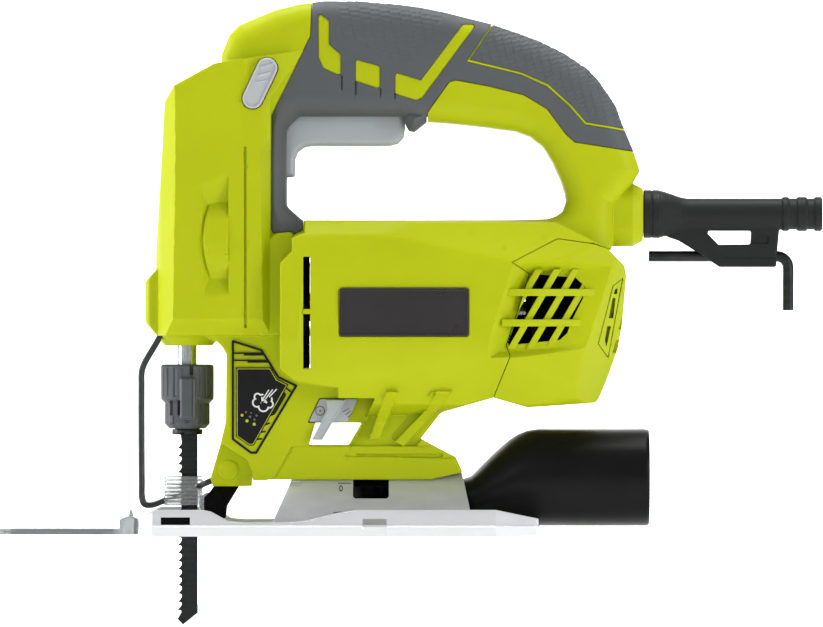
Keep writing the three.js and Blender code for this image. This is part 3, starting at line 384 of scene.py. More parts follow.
SHOULDER_EDGE = facet((-26.6, 19.5, 163.2), (-11.4, 19.5, 194), (-31.3, 27.6, 163.6), HEAD_MIDDLE)
REAR_CHAMFER = facet((-31.2, 28, 80), (-31.2, 28, 160), (-26.6, 19, 120), HEAD_MIDDLE)
HEAD_FACETS = [
    LOWER_PANEL,
    UPPER_PANEL,
    facet((-63.5, 28, 80), (-63.5, 28, 180), (-69.5, 15, 120), HEAD_MIDDLE),
    facet((-69.5, 15, 80), (-69.5, 15, 180), (-73.5, 0, 120), HEAD_MIDDLE),
    facet((-59.4, 28, 176.2), (-45.9, 28, 183.8), (-52, 23, 184), HEAD_MIDDLE),
    facet((-45.9, 28, 183.2), (-27.5, 28, 185.8), (-40, 23, 186.4), HEAD_MIDDLE),
    SHOULDER,
    facet((-70, 26.6, 85), (-30, 26.6, 85), (-50, 17, 75.5), HEAD_MIDDLE),
]
NOSE_CHAMFER = facet((-76, 8.5, 90), (-76, 8.5, 80), (-73, 12, 90), (-60, 0, 90))
SHOULDER_SIDE = [(-42, 165), (-42, 184), (-27, 186.2), (-14.4, 188.2), (-26.7, 163.6)]


def head_form(x, w, z):
    """The gear head: flat panels, the pocket in its side with the bulge of the gear, and the nose."""
    side = outline(x, z, HEAD, 1.0)
    planes = [plane(x, w, z) for plane in HEAD_FACETS]
    planes.append(REAR_CHAMFER(x, w, z) - np.maximum(z - 150, 0) * 0.6)
    body = common(side, *planes, soft=0.25)
    walls = [28.4 - 1.15 * (x + 55), 28.4 - 0.34 * (143.6 + 0.39 * (x + 43.1) - z), 28.4 - 0.34 * (z - 85.4)]
    floor_depth = reduce(np.maximum, walls + [np.full_like(x + z, 23.4)])
    pocket = np.maximum(polygon(x, z, RECESS), floor_depth - w)
    radius = np.sqrt(w * w + (z - GEAR_Z) ** 2)
    front = -53 + ((z - GEAR_Z) / 15) ** 2 * 2.4 + (radius - 26) * 0.25
    bulge = common(radius - 27.9, front - x, x + 43.1, soft=0.4)
    groove = common(np.abs(x + 36.5) - 0.5, np.abs(z - 115.8) - 35, -(body + 1.1))
    nose = common(outline(x, z, NOSE_BLOCK, 0.6), w - 10.5, NOSE_CHAMFER(x, w, z), soft=0.7)
    link = common(outline(x, z, LINK, 1.5), w - 20.6, soft=1.2)
    body = cut(cut(body, pocket, soft=0.3), groove)
    shoulder_side = polygon(x, z, SHOULDER_SIDE)
    shoulder = common(shoulder_side, SHOULDER(x, w, z), SHOULDER_EDGE(x, w, z), UPPER_PANEL(x, w, z))
    return union(union(body, bulge, shoulder), nose, link, soft=0.3)


def nose_ring(x, w, z):
    """The turned collar under the head that the plunger comes out of."""
    radius = np.sqrt((x - PLUNGER_X - 0.4) ** 2 + w * w)
    return common(radius - (9.4 + (z - 73.7) * 0.75), 73.7 - z, z - 79, radius - 12.2, soft=0.5)


BARREL_FACETS = [
    facet((0, 33.5, 76), (60, 33.5, 76), (0, 32, 117)),
    facet((0, 32.2, 116.2), (60, 32.2, 117), (0, 27, 122.2)),
    facet((-20, 33.5, 75.4), (60, 33.5, 75.6), (0, 30.8, 64)),
    facet((1.7, 31, 64), (46.8, 32.4, 70), (20, 24, 52)),
    facet((20, 22, 50.5), (60, 22, 50.5), (40, 12, 46)),
    facet((64.1, 33, 107.2), (64.7, 29.5, 120), (84, 29.5, 108)),
    facet((84, 30, 80), (84, 30, 108), (104, 22, 90)),
    facet((103.5, 22.6, 97.6), (94.5, 26.2, 72.5), (111, 11, 95)),
    facet((66, 31.5, 68.4), (94.5, 26.4, 72.5), (66, 30.6, 63)),
    facet((74.8, 27.4, 54.6), (98.7, 22.6, 54.6), (80, 19, 50)),
    facet((95, 28.5, 106.5), (68, 31.8, 106.5), (84, 25, 114.8)),
]
LOWER_CORNER = facet((66, 30.6, 63), (74.8, 27.4, 54.6), (59.9, 26.5, 53.5))


def barrel_form(x, w, z):
    """The motor barrel, a many-sided prism."""
    side = outline(x, z, BARREL, 0.8)
    corner = LOWER_CORNER(x, w, z) - np.maximum(60 - x, 0) * 0.3
    return common(side, corner, *[plane(x, w, z) for plane in BARREL_FACETS], soft=0.7)


WEB_FACETS = [
    facet((-40, 17.4, 76), (0, 17.4, 76), (-40, 15.6, 36), (0, 0, 50)),
    facet((-40, 15.7, 36), (40, 15.7, 36), (0, 15.3, 22), (0, 0, 50)),
]
FORK_BOSS = [(-46.8, 36.4), (-36, 29.4), (-34, 25), (-33.6, 15), (-60, 15), (-60, 36)]
WAIST = [(3.6, 34.6), (9.6, 44), (14.2, 54), (16, 60), (60, 60), (60, 40), (32, 38), (30, 34.6)]
RAIL_LEDGE = [(1.6, 30.8), (5, 34.8), (60, 34.8), (60, 30), (45, 29.8)]
RIB_GROOVE = [(37.5, 56), (32, 52.4), (20.6, 39), (20.6, 37.2), (22.4, 37.2), (34.8, 50)]
RIBS = [
    ([(18.3, 56), (22.8, 56), (15.4, 37.6), (11.2, 37)], 17),
    ([(36, 56), (44, 56), (24.8, 34.6), (21.4, 36.4)], 15.6),
]


def web_form(x, w, z):
    """The web below the head and barrel, down to the rail that stands on the bevel bracket."""
    side = outline(x, z, WEB, 0.6)
    body = common(side, *[plane(x, w, z) for plane in WEB_FACETS], soft=0.6)
    step = np.maximum(outline(x, z, FORK_BOSS, 1.0), 11 - w)
    knob = common(np.hypot(x + 43.3, z - 25.2) - 3.9, w - 11.6, 5 - w, soft=0.6)
    hollow = np.maximum(polygon(x, z, WAIST), 12.6 - w)
    ledge = common(polygon(x, z, RAIL_LEDGE), 14 - w)
    beyond = (x + 18.6) * 0.874 - (z - 34.1) * 0.485
    rail_step = common(-beyond, z - 34.5, 14.6 - w, 22 - z)
    panel_line = common(np.abs(beyond) - 0.4, slab(z, 22, 34.4), 14.3 - w)
    dark_ledge = common(slab(z, 30.4, 31.6), slab(x, 6.5, 40), 13.2 - w)
    rib_groove = common(polygon(x, z, RIB_GROOVE), 12.2 - w)
    rise = np.maximum(z - 44, 0)
    ribs = [common(outline(x, z, points, 0.4), w - top - rise, soft=0.5) for points, top in RIBS]
    body = cut(body, step, hollow, ledge, rail_step, soft=0.3)
    body = union(body, knob, *[common(rib, side) for rib in ribs], soft=0.3)
    body = cut(body, panel_line, dark_ledge, rib_groove)
    return cut(body, common(polygon(x, z, MARKER), 14.9 - w))


NUB = [(24.4, 166), (24.7, 161.7), (26.7, 157.3), (29.1, 156.7), (34.5, 161), (36, 166)]


def handle_form(x, w, z):
    """The D handle, with the nub behind the trigger."""
    ring = np.maximum(outline(x, z, HANDLE, 2.0), -outline(x, z, OPENING, 3.0))
    flat = np.minimum(ring, outline(x, z, NUB, 0.5))
    front = np.clip((x + 46) / 35, 0, 1)
    half_width = 20.5 - 2.0 * front
    return rounded(flat, w - half_width, 9.0, 7.0)


def neck_form(x, w, z):
    """The block at the rear that holds the cord guard."""
    radius = np.hypot(w, z - CORD_Z)
    flats = [np.abs(z - 124.6) - 12.3, radius - 13.6, w - 12.2]
    taper = (x - 114) * 0.5
    return common(100 - x, x - 118.1, *[f + np.maximum(taper, 0) for f in flats], soft=0.8)


WALL = 2.5
SEAM = 0.15  # half the gap along a parting line
SCREWS = [(-47, 170, 22), (-38, 52, 14), (25, 31, 12), (62, 178, 13), (99, 141, 13), (50, 116.5, 22)]
LEVER_RECESS = [(-12.6, 43.7), (9.4, 43.7), (13.8, 53.4), (-8, 53.4)]
WINDOW = [(-12.1, 35), (3.4, 35), (8.4, 43.7), (-9.6, 43.7)]
TRIGGER_SLOT = [
    (-27.6, 137.6), (-15, 137.6), (-15, 140), (-14, 150), (25.6, 150), (25.6, 158), (25, 172), (-20, 172),
    (-27.6, 160),
]
FORK_POCKET = [(-54, 5), (-33.5, 5), (-33.5, 20), (-36.5, 27), (-38, 31.5), (-48.5, 31.5), (-54, 20)]
TRIGGER_PIN = (-24, 141.5)
FORK_PIN = (-43.3, 25.2)
BEVEL_SCREW_X = 11.5
BUTTON = ((-28.0, 181.3), (-33.6, 169.5))
BADGE_SEAT = [(-0.3, 77.1), (50.3, 77.1), (50.3, 96.4), (-0.3, 96.4)]
INLAYS = [
    [(-8.2, 203), (-4.2, 199.7), (-4.2, 190.6), (0.3, 186.6), (0.3, 178.6), (-6.2, 181.6), (-8, 185.6)],
    [(6.3, 184.6), (15.5, 182.1), (15.5, 173.6), (6.3, 176.6)],
    [(21.7, 179.6), (31.6, 176.6), (48, 198.5), (53, 198.5), (32.1, 170.2), (29.6, 169.1), (21.7, 171.6)],
]
NOTCHES = [(0.9, 178.6, 170.5), (6.3, 176.6, 168.5), (15.9, 173.6, 168.5), (21.5, 171.6, 167.2)]
VENT = [
    (74.6, 101.6), (91.5, 100.1), (95.4, 96.5), (94.3, 91.9), (90.4, 84.2), (88.3, 78.7), (85.5, 76),
    (64.9, 73.8), (71.8, 93),
]
VENT_BARS = [(94.35, 98.7), (82.55, 93.4)]
VENT_SLATS = (77.2, 84.4, 91.6, 98.8)
EXHAUST_LEVELS = (73.5, 82.5, 91.5)
CHEVRON = [(110.1, 100.1), (106, 96.8), (100.3, 74.4), (104.4, 68.9)]
CHEVRON_SLOTS = [
    [(106.5, 93.8), (107.8, 93.8), (107.9, 96.2), (107, 95.6)],
    [(104.5, 84.4), (106.3, 84.4), (107.1, 92.2), (106, 92.2)],
    [(103.6, 73.1), (105.4, 81.3), (103.9, 81.3), (103, 76)],
]
GUARD_HOLE = [
    (-69.6, 0, 79.5), (-69.6, 3.4, 79.5), (-69.8, 5.7, 78.6), (-70.7, 6.2, 76.3), (-71.4, 6.2, 75.2),
]
DISH = [
    facet((66.3, 33.5, 105.9), (57.7, 33.5, 75.9), (73.9, 25.8, 101.2), (50, 20, 90)),
    facet((103.5, 22.1, 97.6), (94.5, 25.2, 72.5), (73.9, 25.0, 101.2), (80, 5, 90)),
    facet((66.8, 33, 106.5), (95, 26, 106.5), (74.6, 25.5, 101.6), (80, 5, 100)),
    facet((65.3, 32, 68.4), (94.5, 26.2, 72.5), (66, 25.8, 73.8), (80, 5, 70)),
]


BRIDGE = [(-11, 60.2), (11, 60.2), (26.3, 74), (26.3, 98), (11, 112.8), (-11, 112.8)]
# A thin dark sheet in the centre plane behind the vents: painted shade for the inside of the motor.
SHADE_FIN = [(60.6, 62.2), (98.8, 62.2), (102.8, 76), (103.8, 97), (95.8, 107.8), (60.6, 111.8)]


def grey_zone(x, z, grow):
    """Where the handle carries the soft grip, the heel pad or the line between them."""
    grip, pad = polygon(x, z, GRIP), polygon(x, z, PAD)
    zone = reduce(np.minimum, [grip - grow, pad - grow, np.maximum(grip, pad) - 1.2])
    return np.maximum(zone, 110 - z)


def inlay_flat(x, z):
    return reduce(np.minimum, [outline(x, z, points, 0.8) for points in INLAYS])


def dished_barrel(x, w, z, barrel):
    return np.maximum(barrel, reduce(np.minimum, [plane(x, w, z) for plane in DISH]))


def screw_places(x, z, radius):
    return reduce(np.minimum, [np.hypot(x - sx, z - sz) for sx, sz, _ in SCREWS]) - radius


def housing_skin(x, w, z):
    """The outside of a housing half with the seats of the soft grip, and the hollow inside it."""
    head, barrel, handle = head_form(x, w, z), barrel_form(x, w, z), handle_form(x, w, z)
    dished = dished_barrel(x, w, z, barrel)
    inlay = inlay_flat(x, z)
    seat = common(grey_zone(x, z, SEAM), -(handle + 2.2), 0.05 - inlay)
    sunk = common(inlay - 0.2, -(handle + 0.3))
    body = union(head, dished, soft=0.4)
    body = union(body, web_form(x, w, z), nose_ring(x, w, z), soft=1.0)
    body = union(body, cut(handle, seat, sunk), soft=0.8)
    body = union(body, neck_form(x, w, z), soft=0.5)
    cord_room = common(np.hypot(w, z - CORD_Z) - 8.2, 96 - x, x - 117)
    gear_room = common(np.hypot(w, z - GEAR_Z) - 25.4, -50.9 - x, x + 43)
    room = reduce(np.minimum, [head + WALL, dished + WALL, handle + 4.8, cord_room, gear_room])
    posts = common(screw_places(x, z, 4.4), cut(body, polygon(x, z, OPENING) - 0.4))
    return np.minimum(cut(body, room), posts)


def housing_openings(x, y, z):
    """The holes, slots and seats that both halves share."""
    w = np.abs(y)
    upper_slot, lower_slot = np.abs(z - 98.05) - 10.15, np.abs(z - 75.35) - 10.65
    openings = [
        np.hypot(w, z) - 25.9 + 60 * np.maximum(-34 - x, 0),
        common(np.hypot(x - PLUNGER_X, y) - 4.5, z - 90),
        common(polygon(x, z, FORK_POCKET), w - 6.2),
        common(drum(x, z, FORK_PIN, 2.4), w - 9.6),
        common(np.hypot(x - BEVEL_SCREW_X, y) - 3.4, z - 40),
        common(polygon(x, z, WINDOW), w - 60),
        common(np.abs(x + 12.65) - 1.35, np.minimum(upper_slot, lower_slot), 20 - w),
        common(polygon(x, z, TRIGGER_SLOT), w - 8.3),
        common(drum(x, z, TRIGGER_PIN, 1.6), w - 11.2),
        polygon(x, z, COVER) - SEAM,
        common(outline(x, z, BADGE_SEAT, 1.2), 32.4 - w),
        common(np.hypot(y, z - CORD_Z) - 4.5, 110 - x),
        common(-15.9 - x + (33.5 - w) * 1.6, x + 14, np.abs(z - 86.5) - 21.7) * 0.53,
    ]
    return openings + [capsule(x, w, z, a, b, 1.5) for a, b in zip(GUARD_HOLE, GUARD_HOLE[1:])]


def housing_field(side):
    """One half of the housing; side is -1 for the left and 1 for the right, which takes the screw heads."""
    def field(x, y, z):
        w = np.abs(y)
        body = housing_skin(x, w, z)
        openings = housing_openings(x, y, z)
        if side < 0:
            body = np.minimum(body, common(polygon(x, z, LEVER_RECESS) - 1, slab(w, 11, 13.4)))
            openings.append(common(segment(x, z, *BUTTON, 4.3), 15 - w))
            openings.append(common(outline(x, z, LEVER_RECESS, 0.4), 13.2 - w))
            openings += [common(drum(x, z, (sx, sz), 1.9), w + head - 21) for sx, sz, head in SCREWS]
        else:
            openings += [common(drum(x, z, (sx, sz), 1.9), w - head - 1) for sx, sz, head in SCREWS]
            openings += [common(drum(x, z, (sx, sz), 3.7), head - w) for sx, sz, head in SCREWS]
        return common(cut(body, *openings), SEAM - side * y)
    return field


def cover_field(x, y, z):
    """The motor cover: a shell with a lip inside the housing, bars and slats across its vents."""
    w = np.abs(y)
    barrel = barrel_form(x, w, z)
    dished = dished_barrel(x, w, z, barrel)
    vent = outline(x, z, VENT, 0.8)
    edge = polygon(x, z, COVER)
    skin = cut(common(dished, edge + SEAM), dished + WALL)
    lip = common(np.abs(edge) - 1.8, dished + WALL + 0.15, -(dished + WALL + 1.4), 66 - x)
    skin = cut(union(skin, lip), common(vent, 15 - w))
    grilles = []
    for level, end in VENT_BARS:
        bar = common(np.abs(z - level) - 1.35, x - end, 62.8 - x, barrel + 1.0, -(barrel + 6), soft=0.4)
        grilles.append(union(common(bar, 0.06 - dished, x - 78), common(bar, edge + SEAM)))
    for start in VENT_SLATS:
        across = np.abs((x - start) * 0.863 - (z - 103.2) * 0.505) - 1.25
        slat = common(across, np.minimum(vent, 1) - 1.5, barrel + 2.6, -(barrel + 6.5), z - 103.4, soft=0.4)
        grilles.append(common(slat, edge + SEAM))
    skin = union(skin, *[common(grille, 15 - w, 72.5 - z) for grille in grilles], soft=0.2)
    pocket = common(polygon(x, z, CHEVRON) - 0.05, -(barrel + 1.9))
    exhaust = [common(np.abs(z - level) - 2.5, slab(w, 2.5, 9), 98 - x) for level in EXHAUST_LEVELS]
    gland = np.hypot(w, z - CORD_Z) - 10.4 + 60 * np.maximum(95 - x, 0)
    return cut(skin, pocket, *exhaust, gland)


def chevron_field(x, y, z):
    """The slotted panel let into each side of the cover's rear."""
    barrel = barrel_form(x, np.abs(y), z)
    panel = common(barrel, -(barrel + 1.8), polygon(x, z, CHEVRON) + 0.22)
    return cut(panel, *[polygon(x, z, points) for points in CHEVRON_SLOTS])


def bridge_field(x, y, z):
    """The plate across the barrel, the rear motor bearing's cup and a dark fin of painted shade behind."""
    radius = np.hypot(y, z - MOTOR_Z)
    plate = common(slab(x, 74.6, 76.4), outline(np.abs(y), z, BRIDGE, 1.0))
    shade_fin = common(outline(x, z, SHADE_FIN, 1.0), np.abs(y) - 0.9)
    cup = common(radius - 12.2, slab(x, 72.4, 89.5), soft=0.5)
    body = union(plate, shade_fin, cup, soft=0.8)
    return cut(body, common(radius - 9.3, slab(x, 72.8, 88)), common(radius - 5.6, x - 88))


def shingle(along, across, pitch, height):
    """A moulded anti-slip pattern: each row rises slowly and drops at its edge."""
    row = np.mod(across / pitch, 1)
    step = np.minimum(row, (1 - row) * 5)
    dash = np.clip(np.sin(along * 2 * math.pi / 1.9 + np.floor(across / pitch) * 2.4) * 1.4, -1, 1)
    return height * (step + 0.3 * dash * (row > 0.15))


GRIP_TEXTURE = [(-0.2, 212), (-0.2, 193.5), (18.7, 184.6), (28.7, 184.1), (40.6, 201), (44, 212)]


def grip_field(x, y, z):
    """The soft skin of the handle, let into the housing round its lime inlays."""
    w = np.abs(y)
    handle = handle_form(x, w, z)
    flat = common(polygon(x, z, GRIP) + 0.2, 110 - z, 0.2 - inlay_flat(x, z))
    patch = outline(x, z, GRIP_TEXTURE, 1.5)
    depth = shingle(z, x + 0.25 * z, 3.9, 0.2) * np.clip(-patch * 2, 0, 1)
    body = common(flat, handle + depth, -(handle + 2.0))
    head, barrel = head_form(x, w, z) - 0.3, barrel_form(x, w, z) - 0.3
    body = cut(body, head, barrel, neck_form(x, w, z) - 0.3)
    for middle, top, bottom in NOTCHES:
        notch = np.abs(x - middle) - 0.38 * np.clip((z - bottom) / 5, 0, 1)
        body = cut(body, common(notch, z - top, bottom - z, -(handle + 0.9)))
    trigger = common(polygon(x, z, TRIGGER_SLOT), w - 8.3)
    pin = common(drum(x, z, TRIGGER_PIN, 1.6), w - 11.2)
    return cut(body, trigger, pin)


def pad_field(x, y, z):
    """The textured pad at the heel of the handle."""
    w = np.abs(y)
    handle = handle_form(x, w, z)
    edge = polygon(x, z, PAD)
    depth = shingle(z - 0.4 * x, x * 0.97 + 0.26 * z, 3.1, 0.2) * np.clip(-(edge + 0.9) * 2, 0, 1)
    body = common(edge + 0.2, handle + depth, -(handle + 2.0), 110 - z)
    return cut(body, neck_form(x, w, z) - 0.3)


def accent_field(x, y, z):
    """The thin lime line between the soft grip and the heel pad."""
    grip, pad = polygon(x, z, GRIP), polygon(x, z, PAD)
    handle = handle_form(x, np.abs(y), z)
    line = common(-grip - 0.02, -pad - 0.02, np.maximum(grip, pad) - 1.0)
    return common(line, handle - 0.05, -(handle + 2.0), 152 - z)


def half(field, side):
    """The part of a field on one side of the parting plane."""
    return lambda x, y, z: common(field(x, y, z), SEAM - side * y)


# ---- swept and lofted meshes
def rings_to_mesh(name, rings, close_ends=True):
    """A skin over rings of points, each with the same number of points."""
    count = len(rings[0])
    points = np.concatenate([np.asarray(r, float) for r in rings])
    faces = []
    for r in range(len(rings) - 1):
        for i in range(count):
            a, b = r * count + i, r * count + (i + 1) % count
            faces += [(a, b, b + count), (a, b + count, a + count)]
    if close_ends:
        last = (len(rings) - 1) * count
        for i in range(1, count - 1):
            faces += [(0, i + 1, i), (last, last + i, last + i + 1)]
    piece = to_mesh(name, points, faces)
    mend = bmesh.new()
    mend.from_mesh(piece.data)
    bmesh.ops.remove_doubles(mend, verts=mend.verts, dist=1e-7)
    bmesh.ops.recalc_face_normals(mend, faces=mend.faces)
    for edge in mend.edges:
        if len(edge.link_faces) == 2 and edge.calc_face_angle(0) > 0.6:
            edge.smooth = False
    mend.to_mesh(piece.data)
    mend.free()
    return piece


def lathe(name, profile, origin, axis, steps=64):
    """A turned mesh: the profile is [radius, place along the axis] and starts and ends at a small radius."""
    axis = Vector(axis)
    frame_of = axis.to_track_quat("Z", "Y").to_matrix()
    rings = []
    for radius, along in profile:
        ring = []
        for i in range(steps):
            angle = 2 * math.pi * i / steps
            local = frame_of @ Vector((radius * math.cos(angle), radius * math.sin(angle), along))
            ring.append(tuple(Vector(origin) + local))
        rings.append(ring)
    return rings_to_mesh(name, rings)


def smooth_path(points, spacing):
    """A centripetal curve through points."""
    points = [Vector(p) for p in points]
    points = [points[0] * 2 - points[1]] + points + [points[-1] * 2 - points[-2]]
    out = []
    for p0, p1, p2, p3 in zip(points, points[1:], points[2:], points[3:]):
        d1, d2, d3 = ((b - a).length ** 0.5 for a, b in ((p0, p1), (p1, p2), (p2, p3)))
        m1 = (p1 - p0) / d1 - (p2 - p0) / (d1 + d2) + (p2 - p1) / d2
        m2 = (p2 - p1) / d2 - (p3 - p1) / (d2 + d3) + (p3 - p2) / d3
        m1, m2 = m1 * d2, m2 * d2
        steps = max(2, int((p2 - p1).length / spacing))
        for i in range(steps):
            t = i / steps
            c2 = 3 * (p2 - p1) - 2 * m1 - m2
            c3 = 2 * (p1 - p2) + m1 + m2
            out.append(p1 + m1 * t + c2 * t * t + c3 * t ** 3)
    return out + [points[-2]]


def swept(name, path, section, up=(0, 1, 0)):
    """A section of [side, up] points carried along a path."""
    rings = []
    up = Vector(up)
    for i, p in enumerate(path):
        along = (path[min(i + 1, len(path) - 1)] - path[max(i - 1, 0)]).normalized()
        side = along.cross(up).normalized()
        up = side.cross(along).normalized()
        rings.append([tuple(p + side * a + up * b) for a, b in section])
    return rings_to_mesh(name, rings)


def circle(radius, steps=20):
    angles = [2 * math.pi * i / steps for i in range(steps)]
    return [(radius * math.cos(a), radius * math.sin(a)) for a in angles]


# ---- controls
TRIGGER = [
    (-26.3, 139.2), (-17.4, 139.2), (-17.3, 146.2), (-16.2, 149), (-13.8, 150.8), (-10.3, 151.4),
    (19.5, 151.4), (22.6, 152.2), (24.9, 154.4), (25.5, 158.5), (24.6, 165.3), (-15.5, 165.3), (-21, 160.5),
    (-24.5, 154), (-26.3, 147),
]
LEVER_PLATE = [(-12.1, 44.1), (3, 44.1), (7, 53), (-7.6, 53)]
LEVER_BAR = [(-10.9, 37.1), (-6.8, 37.1), (2.6, 52.8), (-5.1, 52.8), (-4.7, 49)]


BUTTON_RIBS = ((-27.8, 182.2), (-29.1, 178.9), (-30.4, 175.8))
LEVER_MARK = (-7.6, 48.4)


def trigger_field(x, y, z):
    w = np.abs(y)
    flat = outline(x, z, TRIGGER, 1.2)
    body = rounded(flat, w - 7.6, 2.6, 2.2)
    side_line = common(np.abs(w - 5.9) - 0.16, -(body + 0.35))
    return cut(body, side_line, drum(x, z, TRIGGER_PIN, 1.7))


def button_field(x, y, z):
    flat = segment(x, z, *BUTTON, 3.95)
    body = rounded(flat, slab(y, -28.9, -23), 0.5, 0.5)
    dish = common(flat + 0.95, y + 28.35)
    ribs = []
    for cx, cz in BUTTON_RIBS:
        rib = segment(x, z, (cx - 2.2, cz - 0.5), (cx + 2.0, cz + 0.5), 0.42)
        ribs.append(common(rib, slab(y, -28.75, -27)))
    return union(cut(body, dish, soft=0.25), *ribs, soft=0.2)


def blower_field(x, y, z):
    plate = rounded(outline(x, z, LEVER_PLATE, 0.5), slab(y, -15.6, -13.6), 0.3)
    bar = rounded(outline(x, z, LEVER_BAR, 0.2), slab(y, -18.6, -13.6), 0.7)
    crest = np.abs((x - 2.6) * 0.857 - (z - 52.8) * 0.515) - 0.5
    ridge = common(crest, outline(x, z, LEVER_BAR) - 0.01, slab(y, -18.9, -15))
    return union(plate, bar, ridge, soft=0.2)


def lever_marks(x, y, z):
    """A ring and dot at one end of the blower lever's plate and three lines of air at the other."""
    marks = [np.abs(drum(x, z, LEVER_MARK, 1.7)) - 0.22, drum(x, z, LEVER_MARK, 0.45)]
    for i in range(3):
        start, end = (1.4 + 0.9 * i, 48.0 - 1.1 * i), (3.6 + 0.6 * i, 49.3 - 1.0 * i)
        marks.append(segment(x, z, start, end, 0.2))
    return common(reduce(np.minimum, marks), slab(y, -15.68, -15.3))


# ---- blade end
COLLAR = [
    (0, 41.4), (7.2, 41.4), (8.8, 43.2), (8.8, 51.3), (10.35, 52.8), (10.35, 65.6), (9.8, 66.4), (0, 66.4),
]
CORE = [(0, 39), (5.6, 39), (6, 39.4), (6, 41.1), (4.9, 41.1), (4.9, 66), (0, 66)]


COLLAR_LEVER = [(-62.2, 45), (-55.9, 45), (-55.9, 61.3), (-62.2, 61.3)]


def collar_field(x, y, z):
    """The fluted collar of the blade clamp with its lever and two windows."""
    dx = x - PLUNGER_X
    radius = np.hypot(dx, y)
    angle = np.arctan2(y, dx)
    body = turned(radius, z, COLLAR, 0.25)
    flutes = np.maximum(repeats(angle, 20) * 3.1 - 0.42, slab(z, 54, 65))
    body = cut(body, common(flutes, 10.05 - radius), soft=0.3)
    body = cut(body, common(repeats(angle, 10) * 5 - 0.42, 8.5 - radius, slab(z, 43.4, 51.2)))
    lever = rounded(outline(x, z, COLLAR_LEVER, 1.2), slab(y, -11.9, -7), 1.4)
    edge = common(np.abs(x + 57.3) - 0.15, y + 11.5, slab(z, 45.6, 60.6))
    body = union(body, cut(lever, edge), soft=0.3)
    notch = common(slab(x, -58.4, -57), slab(z, 62.2, 67), y + 7)
    windows = [common(slab(dx, a, a + 1.1), slab(z, 46.5, 52.4), slab(y, -12, -5)) for a in (-6.6, -3.6)]
    return cut(body, radius - 5.25, notch, *windows)


def core_field(x, y, z):
    """The clamp's steel core, slotted for the blade and toothed at its lower end."""
    dx = x - PLUNGER_X
    radius = np.hypot(dx, y)
    body = turned(radius, z, CORE, 0.2)
    teeth = common(repeats(np.arctan2(y, dx), 6, 0.25) * 6 - 0.55, z - 39.9, 4.2 - radius)
    slot = common(np.abs(dx) - 4.3, np.abs(y) - 1, z - 57.2)
    return cut(body, teeth, slot, common(radius - 4.05, 58 - z))


def blade_outline():
    """The side of the blade: the shank with its lugs, then one notch for each tooth."""
    back, root, tip, top, end, pitch = -55.5, -62.1, -63.3, 38.6, -35.1, 3.15
    points = [(back, end + 4.6), (back, top), (-56.2, top + 1), (-56.2, 50.5), (-55.4, 50.8), (-55.4, 53.4)]
    points += [(-57.4, 54.8), (-57.4, 56.8), (-61.6, 56.8), (-61.6, 54.8), (-63.6, 53.4), (-63.6, 50.8)]
    points += [(-62.8, 50.5), (-62.8, top + 1), (root, top)]
    for i in range(int((top - 3 - end - 2) // pitch)):
        z = top - 3 - i * pitch
        points += [(root + 0.35, z), (root - 0.1, z - 0.25 * pitch), (tip, z - 0.62 * pitch)]
        points += [(root + 0.1, z - 0.68 * pitch), (root + 0.35, z - pitch + 0.4)]
    return points + [(tip, end + 2.2), (-61.2, end)]


BLADE = blade_outline()


def blade_field(x, y, z):
    """The blade, with its teeth ground thinner and set to both sides in turn."""
    teeth = limit((-62.2 - x) / 1.1, 0, 1) * (z < 37)
    phase = np.where(np.mod(np.floor((35.6 - z) / 3.15), 2) > 0.5, 1.0, -1.0)
    return common(polygon(x, z, BLADE), np.abs(y - 0.12 * teeth * phase) - 0.6 + 0.18 * teeth)


GUARD_LEG = [
    (-69.6, 0, 79.5), (-69.6, 3.4, 79.5), (-69.8, 5.7, 78.6), (-70.7, 6.2, 76.3), (-76.4, 6.2, 66.4),
    (-77.3, 6.2, 63.4), (-77.4, 6.2, 58), (-77.3, 6.2, 20), (-77.2, 6.2, 14.6), (-76.2, 5.9, 11.9),
    (-73.6, 5.2, 11.5), (-66.3, 3.4, 14.2), (-58.6, 3.3, 17.2), (-55, 4.6, 18.8), (-52, 7.4, 20.2),
    (-46.8, 8.6, 22.6),
]


def chip_field(x, y, z):
    """The ribbed clear shield in front of the blade, open at the rear and bored for the wire."""
    w = np.abs(y)
    ridges = 0.45 * (0.5 - 0.5 * np.cos((z - 11.2) * 2 * math.pi / 1.5)) ** 2
    outer = common(slab(x, -68.6, -53.4), w - 6.2, slab(z, 11.2, 23.2), soft=0.4) + 0.45 - ridges
    outer = common(outer, slab(z, 11.2, 23.2))
    inner = common(-67.3 - x, w - 5.0)
    wires = [capsule(x, w, z, a, b, 1.4) for a, b in zip(GUARD_LEG[9:], GUARD_LEG[10:])]
    return cut(outer, inner, *wires)


FORK = [
    (-47.2, 28), (-45, 30.2), (-41, 30.2), (-38.6, 28), (-38.6, 20), (-44, 11.1), (-44.4, 6.4), (-50.5, 6.4),
    (-52.9, 8.5), (-52.9, 14.6), (-51.1, 16.2), (-49.1, 19),
]


FORK_POCKETS = [(-45, 26), (-40.4, 26), (-40.4, 20.6), (-45.5, 12.6), (-47.6, 18.2)]
ROLLER_AXLE = (-50.6, 12)


def fork_field(x, y, z):
    """The arm that holds the guide roller between its jaws."""
    w = np.abs(y)
    body = rounded(outline(x, z, FORK, 0.8), w - 5.5, 0.7)
    pockets = common(outline(x, z, FORK_POCKETS, 0.8), 4.7 - w)
    jaws = common(slab(x, -60, -45.4), w - 3.1, z - 18.4)
    boss = common(drum(x, z, ROLLER_AXLE, 2.3), w - 5.9)
    body = union(cut(body, pockets, soft=0.4), boss, soft=0.3)
    return cut(body, jaws, common(drum(x, z, ROLLER_AXLE, 1.4), w - 4.9), drum(x, z, FORK_PIN, 2.3))


